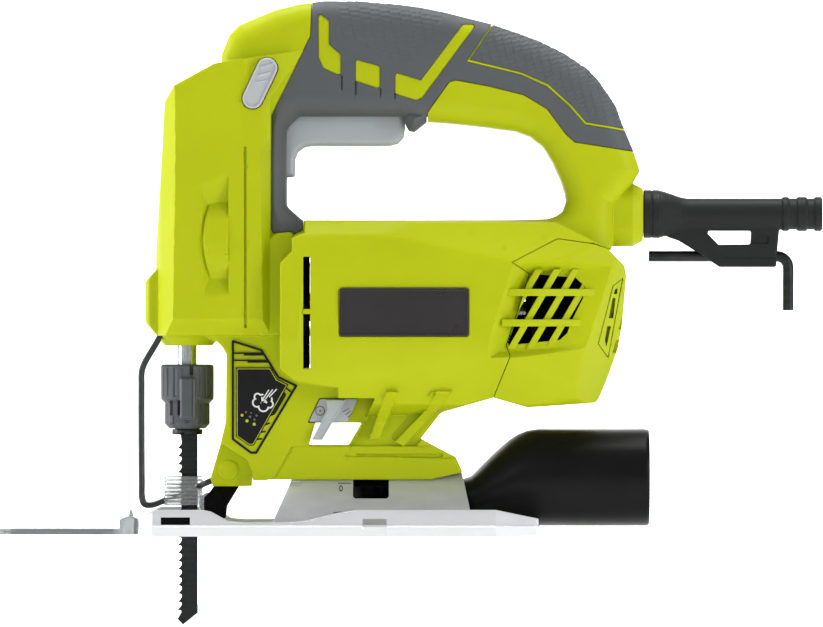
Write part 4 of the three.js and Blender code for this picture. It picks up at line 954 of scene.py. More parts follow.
# ---- shoe
SHOE_PLAN = [
    (-77.6, -31.5), (-72.6, -37.5), (60.4, -37.5), (77.6, -33), (77.6, 33), (60.4, 37.5), (-72.6, 37.5),
    (-77.6, 31.5),
]
RIM = [
    (-77.6, 0.4), (-77.6, 6.8), (-70.8, 10.3), (-52.7, 10.3), (-49.5, 9.6), (-43, 6), (-38, 5.5),
    (-20, 5.5), (-13, 6.1), (0, 9.3), (6.8, 10.3), (60.4, 10.3), (77.6, 6.7), (77.6, 3.4), (74.1, 0),
    (-75.5, 0),
]
NOTCH = [(-90, -14), (-40, -14), (-36, -10), (-36, 10), (-40, 14), (-90, 14)]


RIM_SLOT = [(-71, 3.4), (-56, 3.4), (-56, 8.2), (-71, 8.2)]
SPRING_BOW = [(-66.5, 4.6), (-60.5, 4.6), (-60.5, 7), (-66.5, 7)]
SIGHT_ARROW = [(-41, -19), (-35, -17), (-35, -21)]


def shoe_field(x, y, z):
    """The cast shoe: a tray with ribs, a rim along each long side and a notch for the blade."""
    w = np.abs(y)
    plan = outline(x, y, SHOE_PLAN, 1.5)
    rim_side = outline(x, z, RIM, 0.5)
    outside = plan + 0.5 * limit((z - 3.7) / 0.5, 0, 1)
    rim = common(outside, -(plan + 2.4), rim_side, 28 - w, soft=0.5)
    tray = common(plan, slab(z, 0, 2.6), soft=0.4)
    body = union(tray, rim, soft=0.9)
    ribs = [common(np.abs(w - 29.8) - 0.9, slab(x, -30, 70), slab(z, 1, 3.5), soft=0.8)]
    ribs += [common(np.abs(x - place) - 0.9, w - 33, slab(z, 1, 3.4), soft=0.8) for place in (-30, 66)]
    round_notch = np.abs(polygon(x, y, NOTCH) - 2.6) - 1.1
    lip = common(round_notch, slab(x, -62, -33), slab(z, 1, 3.6), plan, soft=0.6)
    body = common(union(body, *ribs, lip, soft=0.8), outside)
    openings = [polygon(x, y, NOTCH), *[drum(x, w, (place, 22), 2.4) for place in (-52, 58)]]
    openings.append(common(slab(x, -69, -57.7), slab(z, 4.5, 7.4), 30 - w))
    openings.append(common(slab(x, 9, 18.3), slab(z, 4.5, 6.9), 30 - w))
    openings.append(common(slab(x, 9, 18.3), slab(z, 0.6, 3.6), 37.1 - w))
    openings.append(common(outline(x, y, SIGHT_ARROW, 0.2), 2.3 - z))
    openings.append(drum(x, y, (BEVEL_SCREW_X, 0), 6.5))
    return np.maximum(cut(body, *openings), -z)


def rim_spring_field(x, y, z):
    """The leaf spring behind the front slot of the rim, which holds the rail of a parallel guide."""
    leaf = rounded(outline(x, z, RIM_SLOT, 1.0), slab(y, -34.8, -34), 0.3)
    bow = rounded(outline(x, z, SPRING_BOW, 0.8), slab(y, -34.1, -33), 0.4)
    return union(leaf, bow, soft=0.4)


BRACKET_SIDE = [(-27.1, 2.9), (-18.5, 22), (-17, 27), (46.9, 27), (47.6, 24), (50.5, 10.6), (50.5, 2.9)]
BRACKET_SLOT = [(5.2, 14.4), (19.1, 14.4), (19.1, 60), (5.2, 60)]
BRACKET_BUMP = [(-2.4, 8.6), (3.6, 8.6), (3.6, 9.4), (-2.4, 9.4)]
SCALE_ANGLES = (15, 30)


def bracket_field(x, y, z):
    """The pressed arch on the shoe, slotted across its top for the clamp screw."""
    w = np.abs(y)
    radius = np.hypot(w, z)
    body = common(np.abs(radius - 24.6) - 0.9, outline(x, z, BRACKET_SIDE, 0.6), soft=0.3)
    slot = outline(x, z, BRACKET_SLOT, 1.2)
    bump = outline(x, z, BRACKET_BUMP, 0.3)
    tab = common(slab(x, -19.4, -15), slab(z, 19.4, 21.2), 25.2 - radius)
    body = cut(body, slot, bump, tab)
    for degrees in SCALE_ANGLES:
        tick = np.abs(np.arctan2(w, z) - math.radians(degrees)) * 25.5 - 0.15
        body = cut(body, common(np.abs(x + 13) - 1.6, tick, 25.2 - radius))
    return body


def bracket_marks(x, y, z):
    """The zero of the tilt scale and its line."""
    w = np.abs(y)
    zero = np.abs(np.hypot((x - 0.5) / 0.62, z - 18.3) - 0.95) - 0.2
    line = common(slab(x, -0.7, 4.6), slab(z, 20.1, 20.4))
    return common(np.minimum(zero, line), np.hypot(w, z) - 25.56, 25.3 - np.hypot(w, z), y)


def saddle_field(x, y, z):
    """The curved clamp plate inside the bracket, with a cup round the screw's head and a rib."""
    radius = np.hypot(y, z)
    from_screw = np.hypot(x - BEVEL_SCREW_X, y)
    plate = common(np.abs(radius - 21.6) - 1.6, slab(x, 3.4, 21), 18.8 - z, soft=0.4)
    boss = common(from_screw - 5.6, slab(z, 17.6, 21))
    cup = common(np.abs(from_screw - 5.7) - 0.5, slab(z, 13.8, 19))
    rib = common(slab(x, 4.2, 20), np.abs(y) - 0.9, slab(z, 13.8, 19))
    body = union(plate, boss, cup, cut(rib, from_screw - 5.7), soft=0.5)
    return cut(body, from_screw - 2.7)


BEVEL_SCREW = [(0, 12), (4.4, 12), (4.6, 12.3), (4.6, 16.6), (4.2, 17), (2.4, 17), (2.4, 36), (0, 36)]


def screw_field(x, y, z):
    """The clamp screw, knurled round its head, with a hexagon socket from below."""
    dx = x - BEVEL_SCREW_X
    radius, angle = np.hypot(dx, y), np.arctan2(y, dx)
    body = turned(radius, z, BEVEL_SCREW, 0.1)
    knurl = common(repeats(angle, 18) * 1.6 - 0.28, 4.3 - radius, slab(z, 12.6, 16.4))
    flats = [np.abs(dx * math.cos(a) + y * math.sin(a)) for a in (0, math.pi / 3, 2 * math.pi / 3)]
    hexagon = reduce(np.maximum, flats) - 2.05
    return cut(body, knurl, common(hexagon, z - 15))


GUIDE_PLAN = [(-132.6, -11), (-130, -13), (-78.4, -13), (-78.4, 13), (-130, 13), (-132.6, 11)]
GUIDE_CLIP = [(-85.6, 0.2), (-85.6, 6.2), (-82.5, 7.4), (-80.6, 7.4), (-78.4, 6.4), (-78.4, 0.2)]
GUIDE_POINTER = [(-82.4, 6.8), (-82, 9.8), (-81.2, 9.8), (-80.3, 6.8)]


def guide_field(x, y, z):
    """The line guide: a tongue with a sight slot and ruled lines, and the clip that holds it on the shoe."""
    w = np.abs(y)
    plan = outline(x, y, GUIDE_PLAN, 1.2)
    layers = np.minimum(slab(z, 0.2, 1.15), slab(z, 1.45, 2.5))
    layers = np.minimum(layers, common(slab(z, 0.2, 2.6), -(plan + 1.3)))
    tongue = common(plan, layers, x + 84)
    clip = rounded(outline(x, z, GUIDE_CLIP, 0.4), w - 13, 0.4)
    pointer = rounded(outline(x, z, GUIDE_POINTER, 0.2), w - 1, 0.2)
    sight = common(slab(x, -128, -88), w - 1.6)
    gap = common(slab(x, -80.2, -70), w - 3, z - 6.5)
    body = cut(union(tongue, clip, pointer, soft=0.3), sight, gap)
    lines = [common(np.abs(w - place) - 0.14, slab(x, -128, -90), 2.3 - z) for place in (5, 9)]
    return cut(body, *lines)


# ---- cord guard and key
GUARD_PROFILE = [
    (0, 118.4), (9.4, 118.4), (9.4, 124.3), (8.6, 127), (6.5, 133), (6.1, 135.5), (6.1, 172.1),
    (6.7, 172.8), (6.7, 174.7), (6.1, 175.3), (6.1, 177.9), (6.7, 178.5), (6.7, 181.7), (6.1, 182.2),
    (6.1, 184.8), (6.7, 185.3), (6.7, 187.6), (6.3, 188), (0, 188),
]
HOLDER = [
    (125.5, 119), (128, 115.9), (132, 114.6), (138.8, 110.4), (148, 104.3), (170, 104.3), (170.6, 112),
    (171.4, 121), (140, 122),
]


HOLDER_WINDOW = [(142.3, 118.4), (160.3, 118.4), (160, 113.2), (147.5, 113)]
HOLDER_CATCH = [(160, 113.6), (167, 113.6), (167, 116.4), (162, 116.4)]
KEY_Z = 108.5


def cord_guard_field(x, y, z):
    """The bend guard of the cord with the holder of the hex key under it."""
    w = np.abs(y)
    radius = np.hypot(y, z - CORD_Z)
    tube = turned(radius, x, GUARD_PROFILE, 0.3)
    ring = np.abs(np.mod((x - 120) / 3.4, 1) - 0.5) * 3.4 - 0.25
    grooves = common(ring, slab(x, 119.5, 125.5), 9.1 - radius)
    holder = rounded(outline(x, z, HOLDER, 0.8), w - 4.2, 1.0)
    window = outline(x, z, HOLDER_WINDOW, 0.8)
    catch = common(outline(x, z, HOLDER_CATCH, 0.4), slab(w, 3.7, 9))
    ledge = common(slab(z, 107.6, 108.2), slab(x, 149, 171), 3.9 - w)
    body = union(cut(tube, grooves), holder, soft=1.2)
    key_hole = np.hypot(y, z - KEY_Z) - 2.75 + 60 * (x < 130)
    return cut(body, window, catch, ledge, key_hole, radius - 3.9)


def hex_section(across, chamfer=0.35):
    corners = [(across * math.cos(i * math.pi / 3), across * math.sin(i * math.pi / 3)) for i in range(6)]
    points = []
    for (ax, ay), (bx, by) in zip(corners, corners[1:] + corners[:1]):
        t = chamfer / across
        points += [(ax + (bx - ax) * t, ay + (by - ay) * t), (bx + (ax - bx) * t, by + (ay - by) * t)]
    return points


# ---- dust adapter
def adapter_ring(x, top, bottom, half, power, steps=72):
    ring = []
    for i in range(steps):
        angle = 2 * math.pi * i / steps
        c, s = math.cos(angle), math.sin(angle)
        across = math.copysign(abs(c) ** power, c)
        up = math.copysign(abs(s) ** power, s)
        ring.append((x, half * across, (top + bottom) / 2 + (top - bottom) / 2 * up))
    return ring


ADAPTER_STATIONS = [
    # x, top, bottom, half width, how round: 1 is a circle
    (40, 21.2, 3.6, 14.5, 0.75), (48, 21.8, 3.6, 15.1, 0.75), (51.2, 22.9, 3.6, 15.5, 0.77),
    (55, 26.7, 3.6, 16.6, 0.84), (59, 30.8, 3.5, 17.4, 0.9), (63.2, 34.6, 3.4, 18.2, 0.95),
    (66, 37, 3.4, 18.6, 0.98), (69.5, 39.2, 3.4, 18.8, 1), (73, 40.6, 3.4, 18.9, 1), (77, 41.2, 3.4, 18.9, 1),
    (118.5, 41.2, 3.4, 18.9, 1), (119.9, 41, 3.6, 18.7, 1), (120.5, 40.5, 4.1, 18.2, 1),
]


def adapter_rings(wall):
    """Rings from the flat mouth under the bracket to the round end, at a depth below the outside."""
    rings = []
    for x, top, bottom, half_width, power in ADAPTER_STATIONS:
        rings.append(adapter_ring(x, top - wall, bottom + wall, half_width - wall, power))
    return rings


def adapter_mesh():
    outer, inner = adapter_rings(0), adapter_rings(1.7)
    inner[-1] = [(120.5, y, z) for _, y, z in inner[-3]]
    inner = [[(x, y, z) for x, y, z in ring] for ring in reversed(inner)]
    return rings_to_mesh("dust_port", outer + inner + [outer[0]], close_ends=False)


# ---- plates, label and screws
LABEL = [
    (-41.9, 76), (-30.1, 72.3), (-23.5, 61.8), (-16.3, 58.3), (-32.2, 31.7), (-34.6, 31.7), (-41.9, 37.2),
]
LABEL_FIELD = [
    (-40.3, 65.2), (-26.8, 65.2), (-24.3, 60.8), (-19.9, 58.6), (-33.4, 34.9), (-35.3, 34.9), (-40.3, 38.4),
]
LABEL_STRIPES = ((70.6, -37.2), (67.8, -35.8))
LABEL_BARS = [
    ((-29.6, 42.6), (-27.4, 43.6)), ((-31.2, 39.9), (-29, 40.4)), ((-32.9, 37.3), (-30.4, 37.5)),
    ((-27.4, 46.4), (-25.4, 47.2)), ((-20.8, 57.2), (-19.2, 56)),
]
PUFFS = [
    (-32.1, 51.6, 1.75), (-29.6, 50.1, 2.0), (-27.3, 51, 1.5), (-30.3, 53, 1.8), (-27.6, 52.8, 1.4),
    (-31.9, 53.9, 1.3),
]
LIME_DOTS = [(-37.9, 46.7, 0.55), (-36, 44.5, 0.6), (-33.2, 43.2, 0.6)]
GREY_DOTS = [
    (-36.4, 47.9, 0.4), (-34.8, 46.1, 0.45), (-33.1, 45, 0.4), (-32.3, 46.6, 0.4), (-34.4, 47.6, 0.3),
]


def web_face(z):
    """How far the side of the web is from the centre plane at a height."""
    return np.where(z > 36, 15.6 + (z - 36) * 0.045, 15.7 + (z - 36) * 0.0286)


def label_sheet(flat, y, z, low, high):
    return common(flat, slab(-y - web_face(z), low, high))


def dots_flat(x, z, dots):
    return reduce(np.minimum, [drum(x, z, (cx, cz), radius) for cx, cz, radius in dots])


def label_black(x, y, z):
    """The dark field of the label, its border, two stripes, the bar of the switch and a few ticks."""
    edge = outline(x, z, LABEL)
    border = np.abs(outline(x, z, LABEL, 0.5) + 0.42) - 0.42
    stripes = []
    for level, start in LABEL_STRIPES:
        stripes.append(common(slab(z, level - 0.1, level + 0.45), slab(x, -41.5, start + 1)))
        stripes.append(common(slab(z, level - 0.75, level + 0.45), slab(x, start, -24), edge))
    switch = segment(x, z, (-25.6, 48.6), (-22.1, 54.6), 1.25)
    bars = [segment(x, z, a, b, 0.32) for a, b in LABEL_BARS]
    area = np.minimum(border, outline(x, z, LABEL_FIELD, 0.2))
    area = np.minimum(area, common(reduce(np.minimum, stripes), edge + 0.4))
    area = np.minimum(area, common(reduce(np.minimum, [switch, *bars]), edge + 0.8))
    return label_sheet(area, y, z, -0.3, 0.18)


def label_white(x, y, z):
    """A generic puff of dust and the air that blows on it."""
    cloud = np.abs(dots_flat(x, z, PUFFS) + 0.1) - 0.3
    tip = (-30.2, 52.3)
    shafts = []
    for shift in (0, 1.5, 3.0):
        start, end = (-30.2 + shift, 52.4 + shift * 0.5), (-27.6 + shift, 56.4 + shift * 0.1)
        shafts.append(segment(x, z, start, end, 0.22))
    head = [segment(x, z, tip, (-30.2, 53.6), 0.22), segment(x, z, tip, (-29, 52.7), 0.22)]
    clear = reduce(np.minimum, shafts) - 0.5
    return label_sheet(reduce(np.minimum, [np.maximum(cloud, -clear), *shafts, *head]), y, z, 0.0, 0.34)


def label_lime(x, y, z):
    inner = np.abs(outline(x, z, inset(LABEL_FIELD, 0.5), 0.2)) - 0.13
    return label_sheet(np.minimum(dots_flat(x, z, LIME_DOTS), inner), y, z, 0.0, 0.34)


def label_grey(x, y, z):
    return label_sheet(dots_flat(x, z, GREY_DOTS), y, z, 0.0, 0.34)


BADGE = [(0, 77.4), (50, 77.4), (50, 96.1), (0, 96.1)]


def badge_field(sign):
    """A blank plate with a raised edge, in the side of the barrel."""
    def field(x, y, z):
        flat = outline(x, z, BADGE, 1.2)
        depth = slab(sign * y, 32.7, 33.65)
        body = rounded(flat, depth, 0.25)
        return cut(body, common(flat + 0.9, 33.45 - sign * y), soft=0.1)
    return field


def house_screw_field(sx, sz, head):
    """A thread-forming screw with a star socket; head is where its head meets the boss."""
    profile = [(0, head - 20), (1.6, head - 19), (1.6, head + 0.4), (3.2, head + 0.4), (3.2, head + 2.2)]
    profile += [(2.6, head + 3), (0, head + 3)]

    def field(x, y, z):
        radius, angle = np.hypot(x - sx, z - sz), np.arctan2(z - sz, x - sx)
        body = turned(radius, y, profile, 0.15)
        thread = 0.22 * repeats(angle, 1, y / 1.2) * 2 * (y < head - 1)
        star = common(radius - 1.45 - 0.28 * np.cos(6 * angle), head + 1.2 - y)
        return cut(body + thread, star)
    return field


# ---- materials
def node_material(name, colour, roughness, metallic=0.0, **sockets):
    made = bpy.data.materials.new(name)
    made.use_nodes = True
    shader = made.node_tree.nodes["Principled BSDF"]
    shader.inputs["Base Color"].default_value = (*colour, 1)
    shader.inputs["Roughness"].default_value = roughness
    shader.inputs["Metallic"].default_value = metallic
    for socket, value in sockets.items():
        shader.inputs[socket.replace("_", " ")].default_value = value
    return made


def noise(made, scale, detail=3.0, stretch=(1, 1, 1)):
    nodes, links = made.node_tree.nodes, made.node_tree.links
    place = nodes.new("ShaderNodeTexCoord")
    mapping = nodes.new("ShaderNodeMapping")
    mapping.inputs["Scale"].default_value = stretch
    texture = nodes.new("ShaderNodeTexNoise")
    texture.inputs["Scale"].default_value = scale
    texture.inputs["Detail"].default_value = detail
    links.new(place.outputs["Object"], mapping.inputs["Vector"])
    links.new(mapping.outputs["Vector"], texture.inputs["Vector"])
    return texture.outputs["Fac"]


def ramp(made, factor, low, high, span=(0.3, 0.7)):
    nodes, links = made.node_tree.nodes, made.node_tree.links
    steps = nodes.new("ShaderNodeMapRange")
    steps.inputs["From Min"].default_value, steps.inputs["From Max"].default_value = span
    steps.inputs["To Min"].default_value, steps.inputs["To Max"].default_value = low, high
    links.new(factor, steps.inputs["Value"])
    return steps.outputs["Result"]


def vary_roughness(made, factor, low, high):
    shader = made.node_tree.nodes["Principled BSDF"]
    made.node_tree.links.new(ramp(made, factor, low, high), shader.inputs["Roughness"])


def vary_colour(made, factor, first, second):
    nodes, links = made.node_tree.nodes, made.node_tree.links
    mix = nodes.new("ShaderNodeMix")
    mix.data_type = "RGBA"
    mix.inputs["A"].default_value = (*first, 1)
    mix.inputs["B"].default_value = (*second, 1)
    links.new(ramp(made, factor, 0, 1), mix.inputs["Factor"])
    links.new(mix.outputs["Result"], nodes["Principled BSDF"].inputs["Base Color"])


def add_bump(made, factor, distance, strength=1.0):
    nodes, links = made.node_tree.nodes, made.node_tree.links
    bump = nodes.new("ShaderNodeBump")
    bump.inputs["Distance"].default_value = distance
    bump.inputs["Strength"].default_value = strength
    links.new(factor, bump.inputs["Height"])
    links.new(bump.outputs["Normal"], nodes["Principled BSDF"].inputs["Normal"])


def moulded(name, colour, shade, roughness, grain=1400, depth=0.00002, strength=0.5, **sockets):
    """Moulded plastic or rubber: a fine spark-eroded grain, and slow changes of tone and gloss."""
    made = node_material(name, colour, roughness, **sockets)
    vary_colour(made, noise(made, 28), colour, shade)
    vary_roughness(made, noise(made, 60), roughness - 0.04, roughness + 0.04)
    add_bump(made, noise(made, grain, 2.0), depth, strength)
    return made


def worked_metal(name, colour, shade, roughness, grain, stretch=(1, 1, 1), depth=0.00002, gloss=1.0):
    """Metal with the grain of how it was cast, ground or drawn; gloss is how metallic it looks."""
    made = node_material(name, colour, roughness, gloss)
    vary_colour(made, noise(made, grain * 0.15, 4.0, stretch), colour, shade)
    vary_roughness(made, noise(made, grain, 4.0, stretch), roughness - 0.08, roughness + 0.1)
    add_bump(made, noise(made, grain, 4.0, stretch), depth, 0.6)
    return made


LIME_LIGHT, LIME_DARK = (0.43, 0.49, 0.006), (0.40, 0.46, 0.005)
DULL = {"Specular_IOR_Level": 0.1}
SATIN = {"Specular_IOR_Level": 0.4}
LOOKS = {
    "green_housing": moulded("lime_look", LIME_LIGHT, LIME_DARK, 0.42, **DULL),
    "soft_grip": moulded(
        "grip_look", (0.083, 0.090, 0.096), (0.075, 0.082, 0.087), 0.62, 1500, 0.00005, 0.8, **SATIN
    ),
    "trigger_grey": moulded("trigger_look", (0.38, 0.405, 0.43), (0.35, 0.375, 0.40), 0.38),
    "black_plastic": moulded(
        "black_plastic_look", (0.0072, 0.0072, 0.0078), (0.0054, 0.0054, 0.006), 0.34, **DULL
    ),
    "black_rubber": moulded(
        "black_rubber_look", (0.022, 0.023, 0.023), (0.018, 0.019, 0.019), 0.45, 2600, **DULL
    ),
    "dark_grey_plastic": moulded(
        "dark_grey_look", (0.075, 0.083, 0.088), (0.062, 0.07, 0.075), 0.42, **SATIN
    ),
    "badge_dark": moulded("badge_look", (0.02, 0.016, 0.018), (0.014, 0.011, 0.013), 0.3, 3000, 0.000005),
    "cast_aluminium": worked_metal("cast_look", (0.80, 0.81, 0.82), (0.74, 0.75, 0.76), 0.42, 900),
    "zinc_steel": worked_metal(
        "zinc_look", (0.56, 0.58, 0.59), (0.50, 0.52, 0.53), 0.4, 700, (1, 4, 1), gloss=0.35
    ),
    "bright_steel": worked_metal(
        "bright_steel_look", (0.56, 0.60, 0.62), (0.5, 0.54, 0.56), 0.24, 500, (6, 6, 0.4), 0.000004
    ),
    "black_steel": worked_metal(
        "black_steel_look", (0.045, 0.046, 0.047), (0.03, 0.031, 0.032), 0.42, 1200, (1, 1, 3)
    ),
    "wire_steel": worked_metal("wire_look", (0.06, 0.062, 0.064), (0.045, 0.048, 0.05), 0.42, 1500),
    "copper": worked_metal("copper_look", (0.60, 0.26, 0.12), (0.48, 0.19, 0.08), 0.34, 500, (0.3, 6, 6)),
    "laminate": worked_metal(
        "laminate_look", (0.25, 0.26, 0.27), (0.17, 0.18, 0.19), 0.5, 900, (9, 0.5, 0.5)
    ),
    "bronze": worked_metal("bronze_look", (0.42, 0.27, 0.10), (0.33, 0.2, 0.07), 0.48, 1500),
    "carbon": moulded("carbon_look", (0.02, 0.02, 0.02), (0.012, 0.012, 0.012), 0.6),
    "clear_plastic": moulded(
        "clear_look", (0.84, 0.86, 0.86), (0.80, 0.83, 0.83), 0.12, 300, 0.00001,
        Transmission_Weight=0.85, IOR=1.45,
    ),
}
BLADE_STEEL = worked_metal(
    "blade_look", (0.034, 0.035, 0.036), (0.026, 0.027, 0.028), 0.4, 900, (1, 1, 6), 0.00001
)
FORK_BLACK = moulded(
    "fork_look", (0.003, 0.003, 0.0033), (0.002, 0.002, 0.0023), 0.4, Specular_IOR_Level=0.06
)
PALE_GREY = moulded("lever_look", (0.46, 0.48, 0.50), (0.42, 0.44, 0.46), 0.36)
GUIDE_CLEAR = moulded(
    "guide_look", (0.34, 0.36, 0.36), (0.30, 0.32, 0.32), 0.14, 120, 0.000002,
    Transmission_Weight=0.6, IOR=1.45,
)
INK_BLACK = moulded(
    "label_black_look", (0.008, 0.008, 0.009), (0.006, 0.006, 0.007), 0.38, Specular_IOR_Level=0.15
)
INK_WHITE = moulded("label_white_look", (0.70, 0.71, 0.70), (0.66, 0.67, 0.66), 0.4)
INK_LIME = moulded("label_lime_look", LIME_LIGHT, LIME_DARK, 0.38)
INK_GREY = moulded("label_grey_look", (0.12, 0.13, 0.13), (0.09, 0.10, 0.10), 0.4)
WHITE_METAL = worked_metal("shoe_look", (0.80, 0.81, 0.82), (0.77, 0.78, 0.79), 0.36, 800, gloss=0.3)


def painted_shade_above(made, height, painted_shade):
    """Paints shade on the part of a piece above a height, by multiplying its colour by a darker tint."""
    nodes, links = made.node_tree.nodes, made.node_tree.links
    colour = nodes["Principled BSDF"].inputs["Base Color"]
    place = nodes.new("ShaderNodeTexCoord")
    parts = nodes.new("ShaderNodeSeparateXYZ")
    links.new(place.outputs["Object"], parts.inputs["Vector"])
    mix = nodes.new("ShaderNodeMix")
    mix.data_type = "RGBA"
    mix.blend_type = "MULTIPLY"
    links.new(ramp(made, parts.outputs["Z"], 0, 1, (height - 0.0001, height + 0.0001)), mix.inputs["Factor"])
    links.new(colour.links[0].from_socket, mix.inputs["A"])
    mix.inputs["B"].default_value = (*painted_shade, 1)
    links.new(mix.outputs["Result"], colour)


# Painted shade: the shoe above 3.7 mm is drawn darker than the strip below it, for the shade that falls on
# its upper rim.
painted_shade_above(WHITE_METAL, 0.0037, (0.72, 0.73, 0.74))


# ---- stage, camera and light
FLOOR_Z = -0.052
MIDDLE = (0, 0, 0.1)
LIGHTS = {
    # place, aim, size, power
    "key": ((-0.9, -2.2, 1.3), (0.03, 0, 0.09), (1.2, 1.2), 8),
    "left_strip": ((-1.8, 0.1, 0.3), MIDDLE, (0.6, 1.4), 40),
    "right_strip": ((1.6, -1.0, 0.4), MIDDLE, (0.5, 1.2), 16),
    "top": ((0, 0.1, 2.0), MIDDLE, (1.6, 1.0), 48),
    "backdrop": ((0, 1.0, 1.0), (0, 4, 0.6), (4.0, 2.0), 240),
}


def studio_world(strength):
    world = bpy.data.worlds.new("studio")
    bpy.context.scene.world = world
    world.use_nodes = True
    world.node_tree.nodes["Background"].inputs[0].default_value = (1, 1, 1, 1)
    world.node_tree.nodes["Background"].inputs[1].default_value = strength


def area_light(name, place, aim, size, power):
    light = bpy.data.lights.new(name, "AREA")
    light.shape = "RECTANGLE"
    light.size, light.size_y = size
    light.energy = power
    lamp = bpy.data.objects.new(name, light)
    lamp.location = place
    lamp.visible_camera = False
    lamp.rotation_euler = (Vector(aim) - Vector(place)).to_track_quat("-Z", "Y").to_euler()
    bpy.context.scene.collection.objects.link(lamp)


def camera():
    """A long lens square to the left side; one of 823 pixels across covers 0.39 mm at the centre plane."""
    distance, seen = 4.0, 823 * 0.00039
    data = bpy.data.cameras.new("camera")
    data.sensor_width = 36
    data.lens = data.sensor_width * distance / seen
    data.clip_end = 50
    eye = bpy.data.objects.new("camera", data)
    eye.location = (0.0279, -distance, 0.0862)
    eye.rotation_euler = (math.pi / 2, 0, 0)
    bpy.context.scene.collection.objects.link(eye)
    bpy.context.scene.camera = eye


def floor():
    """A pale sheet that runs under the tool and curves up behind it, narrower where it stands."""
    half_width, wall_width, flat_end, back, top, bend = 6.0, 2.3, 1.0, 4.0, 5.0, 1.5
    profile = [(-half_width, 0, half_width), (flat_end, 0, half_width)]
    for a in np.linspace(0, math.pi / 2, 13):
        profile.append((back - bend + bend * math.sin(a), bend - bend * math.cos(a), wall_width))
    profile.append((back, top, wall_width))
    mesh = bpy.data.meshes.new("floor")
    sheet = bmesh.new()
    rows = [[sheet.verts.new((x, y, FLOOR_Z + z)) for x in (-width, width)] for y, z, width in profile]
    for (a, b), (c, d) in zip(rows, rows[1:]):
        sheet.faces.new((a, b, d, c))
    sheet.to_mesh(mesh)
    sheet.free()
    for face in mesh.polygons:
        face.use_smooth = True
    mesh.materials.append(node_material("floor_paper", (0.93, 0.93, 0.93), 0.9))
    ground = bpy.data.objects.new("floor", mesh)
    bpy.context.scene.collection.objects.link(ground)


studio_world(0.27)
camera()
floor()
for name, row in LIGHTS.items():
    area_light(name, *row)
bpy.context.scene.view_settings.view_transform = "Standard"


# ---- pieces
def place(piece, body, slot, *nodes, look=None):
    """Gives a piece the look of its material slot, or the one given, puts it on its body and hides the CAD
    nodes it stands for.
    """
    piece.data.materials.append(look or LOOKS[slot])
    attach(piece, body)
    if nodes:
        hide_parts(*nodes)


def formed(name, field, low, high, voxel, body, slot, *nodes, look=None):
    """Meshes a field within a box at a voxel size, and places it."""
    place(surface(name, field, low, high, voxel), body, slot, *nodes, look=look)


def on_side(side, low, high):
    """The corners of a box that is given for the right side, for either side."""
    y0, y1 = sorted((side * low[1], side * high[1]))
    return (low[0], y0, low[2]), (high[0], y1, high[2])


HANDLE_REAR = (48, -1, 150), (120, 22, 204)
for name, side in (("left", -1), ("right", 1)):
    formed(f"housing_{name}_shell", housing_field(side), *on_side(side, (-78, -1, 17), (120, 36, 210)), 0.55,
           "housing", "green_housing", f"housing_{name}")
    formed(f"grip_{name}_skin", half(grip_field, side), *on_side(side, (-30, -1, 112), (122, 22, 210)), 0.42,
           "housing", "soft_grip", f"grip_{name}")
    formed(f"heel_pad_{name}_skin", half(pad_field, side), *on_side(side, *HANDLE_REAR), 0.36,
           "housing", "soft_grip", f"heel_pad_{name}")
    formed(f"accent_line_{name}", half(accent_field, side), *on_side(side, (46, -1, 150), (120, 22, 204)),
           0.22, "housing", "green_housing")
    formed(f"badge_{name}_plate", badge_field(side), *on_side(side, (-1, 31, 76), (51, 35, 98)), 0.2,
           "housing", "badge_dark", f"badge_{name}")
formed("rear_cover_shell", cover_field, (56, -34, 46), (114, 34, 118), 0.38,
       "housing", "green_housing", "rear_cover")
formed("rear_cover_chevrons", chevron_field, (98, -28, 66), (113, 28, 103), 0.3, "housing", "green_housing")
# The bridge's near-black fin paints the shade inside the motor, seen through the vents.
formed("bearing_bridge_and_shade_fin", bridge_field, (59, -28, 59), (105, 28, 114), 0.45,
       "housing", "black_plastic", "rear_bearing_bridge", look=FORK_BLACK)
for i, (x, z, head) in enumerate(SCREWS):
    formed(f"housing_screw_{i + 1}_torx", house_screw_field(x, z, head),
           (x - 4, head - 21, z - 4), (x + 4, head + 4, z + 4), 0.3,
           "housing", "black_steel", f"housing_screw_{i + 1}")

# controls
formed("trigger_lever", trigger_field, (-28, -9, 137), (27, 9, 167), 0.4,
       "trigger", "trigger_grey", "trigger")
formed("lock_button_cap", button_field, (-40, -30, 164), (-21, -22, 188), 0.22,
       "lock_button", "trigger_grey", "lock_button", look=PALE_GREY)
formed("blower_lever_slider", blower_field, (-14, -20, 35), (9, -12.5, 55), 0.25,
       "blower_lever", "trigger_grey", "blower_lever")
formed("blower_lever_marks", lever_marks, (-11, -16, 45), (6, -15, 51), 0.12,
       "blower_lever", "dark_grey_plastic", look=INK_GREY)

# blade end
formed("clamp_collar_ring", collar_field, (-71, -13, 40), (-48, 12, 68), 0.25,
       "clamp_collar", "dark_grey_plastic", "clamp_collar")
formed("clamp_core_steel", core_field, (-67, -7.5, 38), (-52, 7.5, 67), 0.25,
       "plunger", "black_steel", "clamp_core")
formed("saw_blade", blade_field, (-65, -1.4, -36), (-54, 1.4, 58), 0.2,
       "plunger", "black_steel", "blade", look=BLADE_STEEL)
ROD = [(0.01, 58.3), (3.4, 58.3), (3.75, 58.7), (3.75, 162.5), (3.3, 163), (0.01, 163)]
place(lathe("plunger_steel", ROD, (PLUNGER_X, 0, 0), (0, 0, 1)), "plunger", "bright_steel", "plunger_rod")
both_legs = [(x, -y, z) for x, y, z in reversed(GUARD_LEG[1:])] + GUARD_LEG
wire = swept("wire_guard_steel", smooth_path(both_legs, 0.8), circle(1.15))
place(wire, "housing", "wire_steel", "wire_guard")
